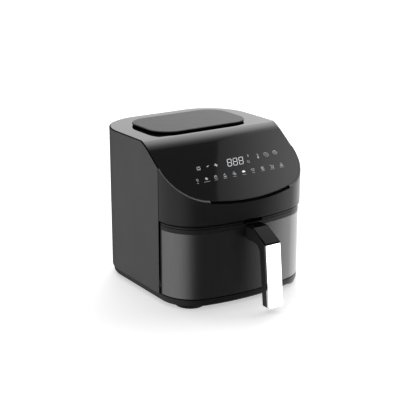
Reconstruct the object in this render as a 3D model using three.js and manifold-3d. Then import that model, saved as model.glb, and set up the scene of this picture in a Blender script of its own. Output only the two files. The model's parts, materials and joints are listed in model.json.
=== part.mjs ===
// Basket air fryer: a glossy sloped top, a wrapped side shell and a steel-fronted drawer with an
// upright handle. Millimetres, +X to the appliance's right, +Y to its back, +Z up.
// Inside this file y = 0 is the front-most point of the body; the exported group is shifted so that
// its origin is the middle of the footprint, on the surface that the feet stand on.
import * as THREE from 'three';
import { mergeVertices } from 'three/addons/utils/BufferGeometryUtils.js';
import Module from 'manifold-3d';

const wasm = await Module();
wasm.setup();

// ---------------------------------------------------------------- driving dimensions
const CLEAR = 0.3; // gap between pieces that touch
const RUN = 0.6; // gap between pieces that move past each other
const EPS = 1; // how far a cutting shape runs past what it cuts
const ROUND = { corner: 4, bowl: 32, small: 20, screw: 10 }; // facets of round stretches

const BODY = { width: 300, depth: 322.5, bottom: 5, top: 293.6, wall: 3.4 };
const PLAN = { frontRadius: 430, frontCorner: 72, rearCorner: 90 };
const SEAM_Y = 84; // where the front parts end and the wrapped shell begins
const BAND = { top: 18, inset: 3, footInset: 8, floor: 3, wall: 6 };
const SLOPE = { angle: 36.22, frontHeight: 194.2, fillet: 22 };
const COVER = { thickness: 3, skirt: 14, skirtWall: 2.4, edgeGap: 0.4 };
const BEZEL = { bottom: 151.5, stripHeight: 4.5, stripInset: 2.9, lip: 2, lipDepth: 9 };
const PANEL_SLOT = { halfLength: 88, top: 0.6, height: 2.8, depth: 2.4, reach: 40 };
const NOTCH = { width: 42, height: 7, corner: 5, depth: 16 };
const PAD = {
  halfWidth: 105, halfDepth: 65, corner: 42, thickness: 3.7, lift: 1.7, centreY: 213,
  bevel: 1.2,
};
const PAD_POST = { x: 78, y: 42, size: 10 };
const AIR_SLOT = { count: 5, pitch: 16, halfLength: 62, width: 6 };
const FOOT = { radius: 28, x: 103, frontY: 53, rearY: 258 };
const DRAWER = { bottom: 19.2, inset: 2.9, skin: 0.8, wall: 3, trimHeight: 8, strip: 5 };
const DECK = { drop: 6, thickness: 3 };
const BASKET = {
  halfWidth: 120, frontY: 25, depth: 237, corner: 55, wall: 1.5, bottom: 24, flange: 9,
  flangeThickness: 1.5,
};
const LUG = { width: 10, bottom: 58, height: 8 };
const PLATE = {
  gap: 2.5, thickness: 1.5, height: 12.7, slotX: 26, slotY: 7, rows: 7, columns: 5, pitchX: 42,
  pitchY: 28,
};
const BUMPER = { size: 10, edge: 7 };
const BAY = { sideGap: 5.2, rearGap: 23, corner: 40, wall: 0.8, floorTop: 17.7, floorInset: 10 };
const RAIL = { basketGap: 5.2, height: 7.7, frontGap: 8, rearGap: 27 };
const MID = { bottom: 156, thickness: 2.5, lip: 3 };
const CHAMBER = { y: 165, radius: 100, wall: 1.2, height: 41, flange: 8, flangeThickness: 1.2 };
const SHIELD = { sideGap: 5, wall: 1, airGap: 7 };
const SHAFT = { radius: 4, tip: 6, end: 3.4, hole: 8 };
const COIL = {
  wallGap: 7.6, pitch: 20, tube: 3.2, lift: 11.2, pin: 8.2, startDeg: 97, sweepDeg: 338,
  hole: 5,
};
const GUARD = { rim: 8, middle: 52, bar: 4, thickness: 1.7, hub: 12 };
const BLOWER = { tipGap: 6.8, roofGap: 3, blades: 8, height: 12, disc: 1.6, hub: 10 };
const COOLER = { radius: 42, lift: 2.5, blades: 7, height: 10, disc: 1.6, hub: 9 };
const NUT = { radius: 7, height: 3.6 };
const BRACKET = { coilGap: 14.8, thickness: 2.5, vent: 9, ventInset: 18 };
const MOTOR = { radius: 32, shoulder: 20, shoulderHeight: 4 };
const DUCT = { sideGap: 4.5, wall: 1.5, height: 23, motorGap: 4.1, roofGap: 18.6 };
const GRILLE = {
  margin: 7, below: 12, height: 40, thickness: 5, proud: 1.5, slots: 7, slotHeight: 3, rim: 5,
};
const GLAND = { x: 42, z: 40, barrel: 9, flange: 12, bore: 4, length: 9 };
const SENSOR = { deg: -60, rod: 2, head: 5, reach: 21.8, headHeight: 4, hole: 3 };
const CUTOUT = { bracketGap: 13, deg: 200, radius: 9, height: 6 };
const SCREW = { shank: 1.9, head: 4, hole: 2.3, headHole: 4.6, headHeight: 2.6 };
const BASE_SCREW = { x: 60, frontY: 40, rearY: 270, boss: 7, headSeat: 11 };
const BASKET_SCREW = { x: 50, length: 9, headHeight: 1.2 };
const CONTROL = { width: 200, height: 58, thickness: 1.6, drop: 12, y: 66 };
const DISPLAY = { x: 11, width: 56, height: 24 };
const POWER = { halfWidth: 52, rearGap: 26.5, lift: 1.5, height: 66, thickness: 1.6 };
const SWITCH = { width: 20, bottom: 56, height: 22 };
const LEVER = { width: 8, thickness: 1.1, length: 18, boss: 1.6, lugGap: 10, basketGap: 12.5 };
const WIRE = { radius: 2.2, hole: 5 };
const HANDLE = { width: 32, reach: 69, top: 148.5, bottom: 10.5, rootBottom: 122, cap: 2.5, trim: 5 };
const HANDLE_TOP = { breakY: -20, noseY: -56.5, noseZ: 128.5 };
const GRIP = { backTopY: -38.5, backTopZ: 112, backBottomY: -50 };
const HANDLE_SCREW = { lowZ: 129, highZ: 140, length: 16, headHeight: 2.4 };

// ---------------------------------------------------------------- derived levels
const slopeRad = THREE.MathUtils.degToRad(SLOPE.angle);
const slopeTan = Math.tan(slopeRad);
const slopeCos = Math.cos(slopeRad);
const coverInset = BODY.wall + COVER.edgeGap;
const drawerTop = BEZEL.bottom - 0.5;
const deckTop = drawerTop - DECK.drop + DECK.thickness;
const flangeBottom = deckTop + CLEAR;
const basketRearY = BASKET.frontY + BASKET.depth;
const bayHalf = BASKET.halfWidth + BASKET.flange + BAY.sideGap + BAY.wall;
const bayRearY = basketRearY + BAY.rearGap;
const basketFloorTop = BASKET.bottom + BASKET.wall;
const plateBottom = basketFloorTop + PLATE.height - PLATE.thickness;
const midInset = BEZEL.stripInset + BODY.wall + CLEAR;
const linerBottom = MID.bottom + MID.thickness + CLEAR;
const linerTop = linerBottom + CHAMBER.height;
const shieldRadius = CHAMBER.radius + SHIELD.sideGap + SHIELD.wall;
const shieldBottom = linerBottom + CHAMBER.flangeThickness + CLEAR;
const shieldTop = linerTop + SHIELD.airGap + SHIELD.wall;
const bracketBottom = shieldTop + CLEAR;
const motorBottom = bracketBottom + BRACKET.thickness + CLEAR;
const coilOuter = CHAMBER.radius - CHAMBER.wall - COIL.wallGap - COIL.tube;
const coilInner = coilOuter - COIL.pitch;
const coilZ = linerBottom + COIL.lift;
const bracketRadius = coilInner - COIL.tube - BRACKET.coilGap;
const pinTop = shieldTop + COIL.pin;
const blowerRadius = coilInner - COIL.tube - BLOWER.tipGap;
const blowerZ = linerTop - CHAMBER.wall - BLOWER.roofGap - BLOWER.disc - BLOWER.height;
const ductHalf = COOLER.radius + DUCT.sideGap + DUCT.wall;
const ductZ = BODY.top - COVER.thickness - DUCT.roofGap - DUCT.height;
const motorTop = ductZ - DUCT.motorGap;
const coolerZ = ductZ + DUCT.wall + COOLER.lift;
const shaftTop = coolerZ + COOLER.height + COOLER.disc + SHAFT.end;
const grilleHalf = ductHalf + GRILLE.margin;
const grilleBottom = ductZ - GRILLE.below;
const powerY = BODY.depth - POWER.rearGap;
const powerBottom = MID.bottom + MID.thickness + POWER.lift;
const sensorRing = (coilOuter + coilInner) / 2;
const cutoutRing = bracketRadius + CUTOUT.bracketGap + CUTOUT.radius;
const rearY = BODY.depth + GRILLE.proud;
const shiftY = (HANDLE.reach - rearY) / 2;
const SIDES = { left: -1, right: 1 };

// ---------------------------------------------------------------- geometry helpers
function weld(geometry) {
  const bare = geometry.clone();
  bare.deleteAttribute('normal');
  bare.deleteAttribute('uv');
  const merged = mergeVertices(bare, 1e-4);
  const index = merged.index.array;
  const kept = [];
  for (let i = 0; i < index.length; i += 3) {
    const [a, b, c] = [index[i], index[i + 1], index[i + 2]];
    if (a !== b && b !== c && a !== c) kept.push(a, b, c);
  }
  merged.setIndex(kept);
  return merged;
}

function solid(geometry) {
  const welded = weld(geometry);
  const vertProperties = new Float32Array(welded.attributes.position.array);
  const triVerts = new Uint32Array(welded.index.array);
  return new wasm.Manifold(new wasm.Mesh({ numProp: 3, vertProperties, triVerts }));
}

function geometryOf(manifold) {
  const mesh = manifold.getMesh();
  const geometry = new THREE.BufferGeometry();
  const positions = Float32Array.from(mesh.vertProperties);
  geometry.setAttribute('position', new THREE.BufferAttribute(positions, 3));
  geometry.setIndex(Array.from(mesh.triVerts));
  return geometry;
}

function cut(base, ...tools) {
  return tools.reduce((result, tool) => result.subtract(tool), base);
}

function join(first, ...others) {
  return others.reduce((result, other) => result.add(other), first);
}

function common(first, ...others) {
  return others.reduce((result, other) => result.intersect(other), first);
}

function box(x0, x1, y0, y1, z0, z1) {
  const geometry = new THREE.BoxGeometry(x1 - x0, y1 - y0, z1 - z0);
  geometry.translate((x0 + x1) / 2, (y0 + y1) / 2, (z0 + z1) / 2);
  return solid(geometry);
}

function extrudeGeometry(shape, length, options = {}) {
  const settings = { depth: length, bevelEnabled: false, curveSegments: ROUND.corner, ...options };
  return new THREE.ExtrudeGeometry(shape, settings);
}

function extrudeZ(shape, z0, z1) {
  return solid(extrudeGeometry(shape, z1 - z0).translate(0, 0, z0));
}

// A shape drawn in (y, z), run along X.
function extrudeX(shape, x0, x1) {
  const basis = new THREE.Matrix4().makeBasis(
    new THREE.Vector3(0, 1, 0),
    new THREE.Vector3(0, 0, 1),
    new THREE.Vector3(1, 0, 0),
  );
  return solid(extrudeGeometry(shape, x1 - x0).translate(0, 0, x0).applyMatrix4(basis));
}

// A shape drawn in (x, z), run along Y.
function extrudeY(shape, y0, y1) {
  const basis = new THREE.Matrix4().makeBasis(
    new THREE.Vector3(1, 0, 0),
    new THREE.Vector3(0, 0, 1),
    new THREE.Vector3(0, -1, 0),
  );
  return solid(extrudeGeometry(shape, y1 - y0).translate(0, 0, -y1).applyMatrix4(basis));
}

// A turned piece on a vertical axis through (x, y): the profile lists (radius, z), bottom to top
// on the outside and back down on the inside.
function turned(profile, x, y, segments = ROUND.bowl) {
  const points = profile.map(([radius, z]) => new THREE.Vector2(radius, z));
  const geometry = new THREE.LatheGeometry(points, segments).rotateX(Math.PI / 2);
  return solid(geometry.translate(x, y, 0));
}

function rod(radius, z0, z1, x, y, segments = ROUND.small) {
  return turned([[0, z0], [radius, z0], [radius, z1], [0, z1]], x, y, segments);
}

function ring(inner, outer, z0, z1, x, y, segments = ROUND.bowl) {
  return turned([[inner, z0], [outer, z0], [outer, z1], [inner, z1], [inner, z0]], x, y, segments);
}

// A rod along Y between two depths.
function rodY(radius, y0, y1, x, z, segments = ROUND.small) {
  const geometry = new THREE.CylinderGeometry(radius, radius, y1 - y0, segments);
  return solid(geometry.translate(x, (y0 + y1) / 2, z));
}

function polygon(points) {
  return new THREE.Shape(points.map(([a, b]) => new THREE.Vector2(a, b)));
}

function roundedRectangle(x0, x1, y0, y1, radius) {
  const quarter = Math.PI / 2;
  const shape = new THREE.Shape();
  shape.absarc(x1 - radius, y1 - radius, radius, 0, quarter, false);
  shape.absarc(x0 + radius, y1 - radius, radius, quarter, 2 * quarter, false);
  shape.absarc(x0 + radius, y0 + radius, radius, 2 * quarter, 3 * quarter, false);
  shape.absarc(x1 - radius, y0 + radius, radius, 3 * quarter, 4 * quarter, false);
  return shape;
}

function sweptTube(points, radius, steps, sides) {
  const section = new THREE.Shape();
  for (let i = 0; i < sides; i += 1) {
    const angle = (2 * Math.PI * i) / sides;
    const corner = [radius * Math.cos(angle), radius * Math.sin(angle)];
    if (i === 0) section.moveTo(...corner);
    else section.lineTo(...corner);
  }
  const extrudePath = new THREE.CatmullRomCurve3(points, false, 'centripetal');
  return new THREE.ExtrudeGeometry(section, { steps, extrudePath, bevelEnabled: false });
}

// ---------------------------------------------------------------- the body's plan outline
// The bowed front arc runs into the front corners, the sides are straight and the back is flat.
function bodyShape(inset) {
  const { frontRadius, frontCorner, rearCorner } = PLAN;
  const half = BODY.width / 2;
  const cornerX = half - frontCorner;
  const cornerY = frontRadius - Math.sqrt((frontRadius - frontCorner) ** 2 - cornerX ** 2);
  const lean = Math.asin(cornerX / (frontRadius - frontCorner));
  const quarter = Math.PI / 2;
  const shape = new THREE.Shape();
  shape.absarc(half - rearCorner, BODY.depth - rearCorner, rearCorner - inset, 0, quarter, false);
  shape.absarc(rearCorner - half, BODY.depth - rearCorner, rearCorner - inset, quarter, 2 * quarter, false);
  shape.absarc(-cornerX, cornerY, frontCorner - inset, 2 * quarter, 3 * quarter - lean, false);
  shape.absarc(0, frontRadius, frontRadius - inset, 3 * quarter - lean, 3 * quarter + lean, false);
  shape.absarc(cornerX, cornerY, frontCorner - inset, 3 * quarter + lean, 4 * quarter, false);
  return shape;
}

function plan(inset, z0, z1) {
  return extrudeZ(bodyShape(inset), z0, z1);
}

function hoop(outerInset, innerInset, z0, z1) {
  return cut(plan(outerInset, z0, z1), plan(innerInset, z0 - EPS, z1 + EPS));
}

function slopeZ(y, drop = 0) {
  return SLOPE.frontHeight + y * slopeTan - drop / slopeCos;
}

// Everything under the top and sloped surfaces, lowered by drop and cut off at floorZ.
function underTop(drop, floorZ) {
  const bendY = (BODY.top - SLOPE.frontHeight) / slopeTan;
  const centreY = bendY + SLOPE.fillet * Math.tan(slopeRad / 2);
  const frontY = -10;
  const backY = BODY.depth + 10;
  const shape = new THREE.Shape();
  shape.moveTo(frontY, floorZ);
  shape.lineTo(backY, floorZ);
  shape.lineTo(backY, BODY.top - drop);
  const start = Math.PI / 2;
  shape.absarc(centreY, BODY.top - SLOPE.fillet, SLOPE.fillet - drop, start, start + slopeRad, false);
  shape.lineTo(frontY, slopeZ(frontY, drop));
  const half = BODY.width / 2 + 10;
  return extrudeX(shape, -half, half);
}

function frontOf(y) {
  return box(-BODY.width, BODY.width, -BODY.depth, y, -10, BODY.top + 20);
}

function behind(y) {
  return box(-BODY.width, BODY.width, y, 2 * BODY.depth, -10, BODY.top + 20);
}

function onRing(radius, degrees) {
  const angle = THREE.MathUtils.degToRad(degrees);
  return [radius * Math.cos(angle), CHAMBER.y + radius * Math.sin(angle)];
}

// ---------------------------------------------------------------- materials
function finish(color, roughness, metalness = 0) {
  return new THREE.MeshStandardMaterial({ color, roughness, metalness });
}

const FINISHES = {
  charcoal: finish(0x4c4c4e, 0.55),
  matte: finish(0x2c2c2d, 0.5),
  gloss: finish(0x101012, 0.08),
  satin: finish(0x6b6c6e, 0.35),
  brushed: finish(0x5d5e60, 0.3, 1),
  chrome: finish(0xe6e7e8, 0.08, 1),
  steel: finish(0xa9abad, 0.35, 1),
  coated: finish(0x262627, 0.4),
  rubber: finish(0x1c1c1d, 0.9),
  silicone: finish(0x303032, 0.7),
  board: finish(0x24553a, 0.6),
  glass: finish(0x0d0d0f, 0.1),
  ceramic: finish(0xdad6cc, 0.8),
};

const fryer = new THREE.Group();
const model = new THREE.Group();
model.position.y = shiftY;
fryer.add(model);

function put(name, geometry, material, parent = model) {
  const mesh = new THREE.Mesh(geometry, material.clone());
  mesh.name = name;
  parent.add(mesh);
}

function putSolid(name, manifold, material, parent = model) {
  put(name, geometryOf(manifold), material, parent);
}

// ---------------------------------------------------------------- base, feet and base screws
function baseScrewPlaces() {
  const { x, frontY, rearY: backY } = BASE_SCREW;
  return {
    front_left: [-x, frontY],
    front_right: [x, frontY],
    rear_left: [-x, backY],
    rear_right: [x, backY],
  };
}

function makeBasePan() {
  const taper = BAND.footInset - BAND.inset;
  const blank = extrudeGeometry(bodyShape(BAND.footInset), BAND.top - BODY.bottom, {
    bevelEnabled: true,
    bevelThickness: taper,
    bevelSize: taper,
    bevelSegments: 1,
  }).translate(0, 0, BODY.bottom + taper);
  const floorTop = BODY.bottom + BAND.floor;
  let pan = cut(
    common(solid(blank), box(-BODY.width, BODY.width, -BODY.depth, 2 * BODY.depth, 0, BAND.top)),
    plan(BAND.inset + BAND.wall, floorTop, BAND.top + EPS),
  );
  const bossTop = BAY.floorTop - BAY.wall - CLEAR;
  for (const [x, y] of Object.values(baseScrewPlaces())) {
    pan = join(pan, rod(BASE_SCREW.boss, floorTop - EPS, bossTop, x, y, ROUND.screw));
    const counterbore = rod(SCREW.headHole, 0, BASE_SCREW.headSeat, x, y, ROUND.screw);
    pan = cut(pan, counterbore, rod(SCREW.hole, 0, BAND.top, x, y, ROUND.screw));
  }
  putSolid('base_pan', pan, FINISHES.matte);
}

function makeFeet() {
  const top = BODY.bottom - CLEAR;
  const edge = 1.2;
  const { radius } = FOOT;
  const profile = [[0, 0], [radius - edge, 0], [radius, edge], [radius, top], [0, top]];
  for (const [side, sign] of Object.entries(SIDES)) {
    const front = turned(profile, sign * FOOT.x, FOOT.frontY, ROUND.small);
    putSolid(`foot_front_${side}`, front, FINISHES.rubber);
    putSolid(`foot_rear_${side}`, turned(profile, sign * FOOT.x, FOOT.rearY, ROUND.small), FINISHES.rubber);
  }
}

function makeBaseScrews() {
  const seat = BASE_SCREW.headSeat - CLEAR;
  const tip = BAY.floorTop + 0.5;
  for (const [name, [x, y]] of Object.entries(baseScrewPlaces())) {
    const profile = [
      [0, seat - SCREW.headHeight],
      [SCREW.head, seat - SCREW.headHeight],
      [SCREW.head, seat],
      [SCREW.shank, seat],
      [SCREW.shank, tip],
      [0, tip],
    ];
    putSolid(`base_screw_${name}`, turned(profile, x, y, ROUND.screw), FINISHES.steel);
  }
}

// ---------------------------------------------------------------- outer shells
function makeBodyWrap() {
  const shell = hoop(0, BODY.wall, BAND.top + CLEAR, BODY.top + EPS);
  const wrap = common(shell, underTop(0, 0), behind(SEAM_Y + CLEAR));
  const grilleTop = grilleBottom + GRILLE.height;
  const vent = box(-grilleHalf, grilleHalf, BODY.depth - 20, BODY.depth + 20, grilleBottom, grilleTop);
  const cable = rodY(GLAND.barrel + CLEAR, BODY.depth - 20, BODY.depth + 20, GLAND.x, GLAND.z);
  putSolid('body_wrap', cut(wrap, vent, cable), FINISHES.charcoal);
}

function notchShape() {
  const half = NOTCH.width / 2;
  const top = BEZEL.bottom + NOTCH.height;
  const shape = new THREE.Shape();
  shape.moveTo(-half, BEZEL.bottom - EPS);
  shape.lineTo(half, BEZEL.bottom - EPS);
  shape.absarc(half - NOTCH.corner, top - NOTCH.corner, NOTCH.corner, 0, Math.PI / 2, false);
  shape.absarc(NOTCH.corner - half, top - NOTCH.corner, NOTCH.corner, Math.PI / 2, Math.PI, false);
  return shape;
}

function makeFrontBezel() {
  const edge = BEZEL.bottom + BEZEL.stripHeight;
  const outer = hoop(0, BODY.wall, edge, BODY.top + EPS);
  const strip = hoop(BEZEL.stripInset, BEZEL.stripInset + BODY.wall, BEZEL.bottom, edge + BODY.wall);
  const lipTop = BEZEL.bottom + BEZEL.lip;
  const lip = hoop(BEZEL.stripInset, BEZEL.stripInset + BEZEL.lipDepth, BEZEL.bottom, lipTop);
  const shell = common(join(outer, strip, lip), underTop(0, 0), frontOf(SEAM_Y));
  const band = cut(underTop(PANEL_SLOT.top, 0), underTop(PANEL_SLOT.top + PANEL_SLOT.height, -EPS));
  const length = PANEL_SLOT.halfLength;
  const slot = common(
    cut(plan(-EPS, 0, BODY.top), plan(PANEL_SLOT.depth, -EPS, BODY.top + EPS)),
    band,
    box(-length, length, -BODY.depth, PANEL_SLOT.reach, 0, BODY.top),
  );
  putSolid('front_bezel', cut(shell, slot, extrudeY(notchShape(), -EPS, NOTCH.depth)), FINISHES.matte);
}

function airSlots() {
  const slots = [];
  for (let i = 0; i < AIR_SLOT.count; i += 1) {
    const y = PAD.centreY + (i - (AIR_SLOT.count - 1) / 2) * AIR_SLOT.pitch;
    const half = AIR_SLOT.width / 2;
    const length = AIR_SLOT.halfLength;
    slots.push(box(-length, length, y - half, y + half, BODY.top - COVER.thickness - EPS, BODY.top + EPS));
  }
  return slots;
}

function makeTopCover() {
  const floorZ = BEZEL.bottom;
  const outer = common(plan(coverInset, floorZ, BODY.top + EPS), underTop(0, 0));
  const inner = common(plan(coverInset + COVER.skirtWall, 0, BODY.top), underTop(COVER.thickness, 0));
  const shell = cut(outer, inner, underTop(COVER.skirt, -EPS));
  putSolid('top_cover', cut(shell, ...airSlots()), FINISHES.gloss);
}

function makeInletPad() {
  const { halfWidth, halfDepth, centreY, bevel } = PAD;
  const bottom = BODY.top + CLEAR + PAD.lift;
  const outline = roundedRectangle(
    bevel - halfWidth,
    halfWidth - bevel,
    centreY - halfDepth + bevel,
    centreY + halfDepth - bevel,
    PAD.corner,
  );
  const lid = extrudeGeometry(outline, PAD.thickness - 2 * bevel, {
    bevelEnabled: true,
    bevelThickness: bevel,
    bevelSize: bevel,
    bevelSegments: 1,
  }).translate(0, 0, bottom + bevel);
  const half = PAD_POST.size / 2;
  const posts = [];
  for (const signX of [-1, 1]) {
    for (const signY of [-1, 1]) {
      const x = signX * PAD_POST.x;
      const y = centreY + signY * PAD_POST.y;
      posts.push(box(x - half, x + half, y - half, y + half, BODY.top + CLEAR, bottom + PAD.thickness / 2));
    }
  }
  putSolid('inlet_pad', join(solid(lid), ...posts), FINISHES.satin);
}

function makeRearGrille() {
  const half = grilleHalf - CLEAR;
  const bottom = grilleBottom + CLEAR;
  const top = grilleBottom + GRILLE.height - CLEAR;
  const pitch = (top - bottom - 2 * GRILLE.rim + GRILLE.slotHeight) / GRILLE.slots;
  let grille = box(-half, half, rearY - GRILLE.thickness, rearY, bottom, top);
  for (let i = 0; i < GRILLE.slots; i += 1) {
    const z = bottom + GRILLE.rim + i * pitch;
    const reach = half - GRILLE.rim;
    const front = rearY - 2 * GRILLE.thickness;
    grille = cut(grille, box(-reach, reach, front, rearY + EPS, z, z + GRILLE.slotHeight));
  }
  putSolid('rear_grille', grille, FINISHES.matte);
}

function makeCordGland() {
  const outside = BODY.depth + CLEAR;
  const barrel = rodY(GLAND.barrel, rearY - GLAND.length, rearY, GLAND.x, GLAND.z);
  const flange = rodY(GLAND.flange, outside, rearY, GLAND.x, GLAND.z);
  const bore = rodY(GLAND.bore, rearY - 2 * GLAND.length, rearY + EPS, GLAND.x, GLAND.z);
  putSolid('cord_gland', cut(join(barrel, flange), bore), FINISHES.rubber);
}

// ---------------------------------------------------------------- inner frame and drawer bay
function makeMidFrame() {
  const top = MID.bottom + MID.thickness;
  const plate = common(plan(midInset, MID.bottom, top), behind(NOTCH.depth + CLEAR));
  const opening = rod((CHAMBER.radius - MID.lip), MID.bottom - EPS, top + EPS, 0, CHAMBER.y, ROUND.bowl);
  const wireY = powerY + POWER.thickness + WIRE.hole;
  const wirePass = rod(WIRE.hole, MID.bottom - EPS, top + EPS, GLAND.x, wireY);
  putSolid('mid_frame', cut(plate, opening, wirePass), FINISHES.matte);
}

function bayShape(inset) {
  const half = bayHalf - inset;
  return roundedRectangle(-half, half, inset, bayRearY - inset, BAY.corner - inset);
}

function makeDrawerBay() {
  const floorBottom = BAY.floorTop - BAY.wall;
  const top = MID.bottom - CLEAR;
  const front = SEAM_Y + 2;
  const walls = common(
    cut(extrudeZ(bayShape(0), floorBottom, top), extrudeZ(bayShape(BAY.wall), 0, top + EPS)),
    behind(front),
  );
  const floor = common(plan(BAY.floorInset, floorBottom, BAY.floorTop), frontOf(bayRearY));
  const places = Object.values(baseScrewPlaces());
  const holes = places.map(([x, y]) => rod(SCREW.hole, 0, BAND.top + EPS, x, y, ROUND.screw));
  putSolid('drawer_bay', cut(join(walls, floor), ...holes), FINISHES.steel);
}

function makeRails() {
  const outer = bayHalf - BAY.wall - CLEAR;
  const inner = BASKET.halfWidth + RAIL.basketGap;
  const top = flangeBottom - RUN;
  for (const [side, sign] of Object.entries(SIDES)) {
    const edges = [sign * outer, sign * inner].sort((a, b) => a - b);
    const back = bayRearY - RAIL.rearGap - BAY.corner / 2;
    const rail = box(...edges, SEAM_Y + RAIL.frontGap, back, top - RAIL.height, top);
    putSolid(`drawer_rail_${side}`, rail, FINISHES.matte);
  }
}

// ---------------------------------------------------------------- heating chamber
function chamberHoles(z0, z1) {
  const [endX, endY] = onRing(coilInner, COIL.startDeg + 6);
  const [startX, startY] = onRing(coilOuter, COIL.startDeg);
  const [probeX, probeY] = onRing(sensorRing, SENSOR.deg);
  return [
    rod(SHAFT.hole, z0, z1, 0, CHAMBER.y),
    rod(COIL.hole, z0, z1, startX, startY),
    rod(COIL.hole, z0, z1, endX, endY),
    rod(SENSOR.hole, z0, z1, probeX, probeY),
  ];
}

function makeChamberLiner() {
  const outer = CHAMBER.radius;
  const inner = outer - CHAMBER.wall;
  const rim = outer + CHAMBER.flange;
  const flangeTop = linerBottom + CHAMBER.flangeThickness;
  const profile = [
    [0, linerTop],
    [0, linerTop - CHAMBER.wall],
    [inner, linerTop - CHAMBER.wall],
    [inner, linerBottom],
    [rim, linerBottom],
    [rim, flangeTop],
    [outer, flangeTop],
    [outer, linerTop],
  ];
  const bowl = turned([...profile, profile[0]], 0, CHAMBER.y);
  putSolid('chamber_liner', cut(bowl, ...chamberHoles(linerBottom, linerTop + EPS)), FINISHES.steel);
}

function makeHeatShield() {
  const outer = shieldRadius;
  const inner = outer - SHIELD.wall;
  const profile = [
    [0, shieldTop],
    [0, shieldTop - SHIELD.wall],
    [inner, shieldTop - SHIELD.wall],
    [inner, shieldBottom],
    [outer, shieldBottom],
    [outer, shieldTop],
  ];
  const dome = turned([...profile, profile[0]], 0, CHAMBER.y);
  putSolid('heat_shield', cut(dome, ...chamberHoles(linerTop, shieldTop + EPS)), FINISHES.steel);
}

// Two loops of tube with a turn-back between them, both ends rising through the chamber roof.
function coilPoints() {
  const points = [];
  const steps = 20;
  const bend = 9;
  const place = (radius, degrees, z) => {
    const [x, y] = onRing(radius, degrees);
    points.push(new THREE.Vector3(x, y, z));
  };
  place(coilOuter, COIL.startDeg, pinTop);
  place(coilOuter, COIL.startDeg, coilZ + 2 * bend);
  for (let i = 1; i <= steps; i += 1) place(coilOuter, COIL.startDeg + (COIL.sweepDeg * i) / steps, coilZ);
  const turnDeg = COIL.startDeg + COIL.sweepDeg + bend;
  place((coilOuter + coilInner) / 2, turnDeg, coilZ);
  const backDeg = COIL.sweepDeg - 6;
  for (let i = steps; i >= 1; i -= 1) place(coilInner, COIL.startDeg + 6 + (backDeg * i) / steps, coilZ);
  place(coilInner, COIL.startDeg + 6, coilZ + 2 * bend);
  place(coilInner, COIL.startDeg + 6, pinTop);
  return points;
}

function makeHeater() {
  put('heating_element', sweptTube(coilPoints(), COIL.tube, 84, 6), FINISHES.steel);
}

function makeHeaterGuard() {
  const outer = CHAMBER.radius - CHAMBER.wall - CLEAR;
  const z0 = linerBottom + CLEAR;
  const z1 = z0 + GUARD.thickness;
  let guard = join(
    ring(outer - GUARD.rim, outer, z0, z1, 0, CHAMBER.y),
    ring(GUARD.middle - GUARD.bar, GUARD.middle, z0, z1, 0, CHAMBER.y),
    rod(GUARD.hub, z0, z1, 0, CHAMBER.y),
  );
  const reach = outer - GUARD.rim / 2;
  for (let i = 0; i < 3; i += 1) {
    const bar = new THREE.BoxGeometry(2 * reach, GUARD.bar, GUARD.thickness);
    bar.rotateZ((i * Math.PI) / 3).translate(0, CHAMBER.y, (z0 + z1) / 2);
    guard = join(guard, solid(bar));
  }
  putSolid('heater_guard', guard, FINISHES.steel);
}

// ---------------------------------------------------------------- motor, fans and air duct
function bladeWheel({ blades, height, disc, hub }, radius, z, discOnTop) {
  const discZ = discOnTop ? z + height : z;
  const bladeZ = discOnTop ? z : z + disc;
  let body = join(
    rod(radius, discZ, discZ + disc, 0, CHAMBER.y, ROUND.bowl),
    rod(hub, z, z + height + disc, 0, CHAMBER.y),
  );
  for (let i = 0; i < blades; i += 1) {
    const length = radius - hub;
    const blade = new THREE.BoxGeometry(length, 1.4, height + 0.4);
    blade.translate(hub + length / 2 - 1, 0, bladeZ + height / 2).rotateZ((2 * Math.PI * i) / blades);
    body = join(body, solid(blade.translate(0, CHAMBER.y, 0)));
  }
  return cut(body, rod(SHAFT.radius + CLEAR, z - EPS, z + height + disc + EPS, 0, CHAMBER.y));
}

function makeRotor() {
  putSolid('motor_shaft', rod(SHAFT.radius, blowerZ - SHAFT.tip, shaftTop, 0, CHAMBER.y), FINISHES.steel);
  putSolid('convection_fan', bladeWheel(BLOWER, blowerRadius, blowerZ, true), FINISHES.steel);
  putSolid('cooling_fan', bladeWheel(COOLER, COOLER.radius, coolerZ, false), FINISHES.matte);
  const top = blowerZ - CLEAR;
  const nut = rod(NUT.radius, top - NUT.height, top, 0, CHAMBER.y, 6);
  const thread = rod(SHAFT.radius + CLEAR, top - NUT.height - EPS, top + EPS, 0, CHAMBER.y);
  putSolid('fan_nut', cut(nut, thread), FINISHES.steel);
}

function makeMotor() {
  const bracketTop = bracketBottom + BRACKET.thickness;
  let bracket = ring(SHAFT.hole, bracketRadius, bracketBottom, bracketTop, 0, CHAMBER.y);
  for (let i = 0; i < 3; i += 1) {
    const [x, y] = onRing(bracketRadius - BRACKET.ventInset, 90 + 120 * i);
    bracket = cut(bracket, rod(BRACKET.vent, bracketBottom - EPS, bracketTop + EPS, x, y, ROUND.screw));
  }
  putSolid('motor_bracket', bracket, FINISHES.steel);
  const bore = SHAFT.radius + RUN;
  const profile = [
    [bore, motorBottom],
    [MOTOR.radius, motorBottom],
    [MOTOR.radius, motorTop - MOTOR.shoulderHeight],
    [MOTOR.shoulder, motorTop - MOTOR.shoulderHeight],
    [MOTOR.shoulder, motorTop],
    [bore, motorTop],
    [bore, motorBottom],
  ];
  putSolid('motor_body', turned(profile, 0, CHAMBER.y), FINISHES.steel);
}

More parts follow.
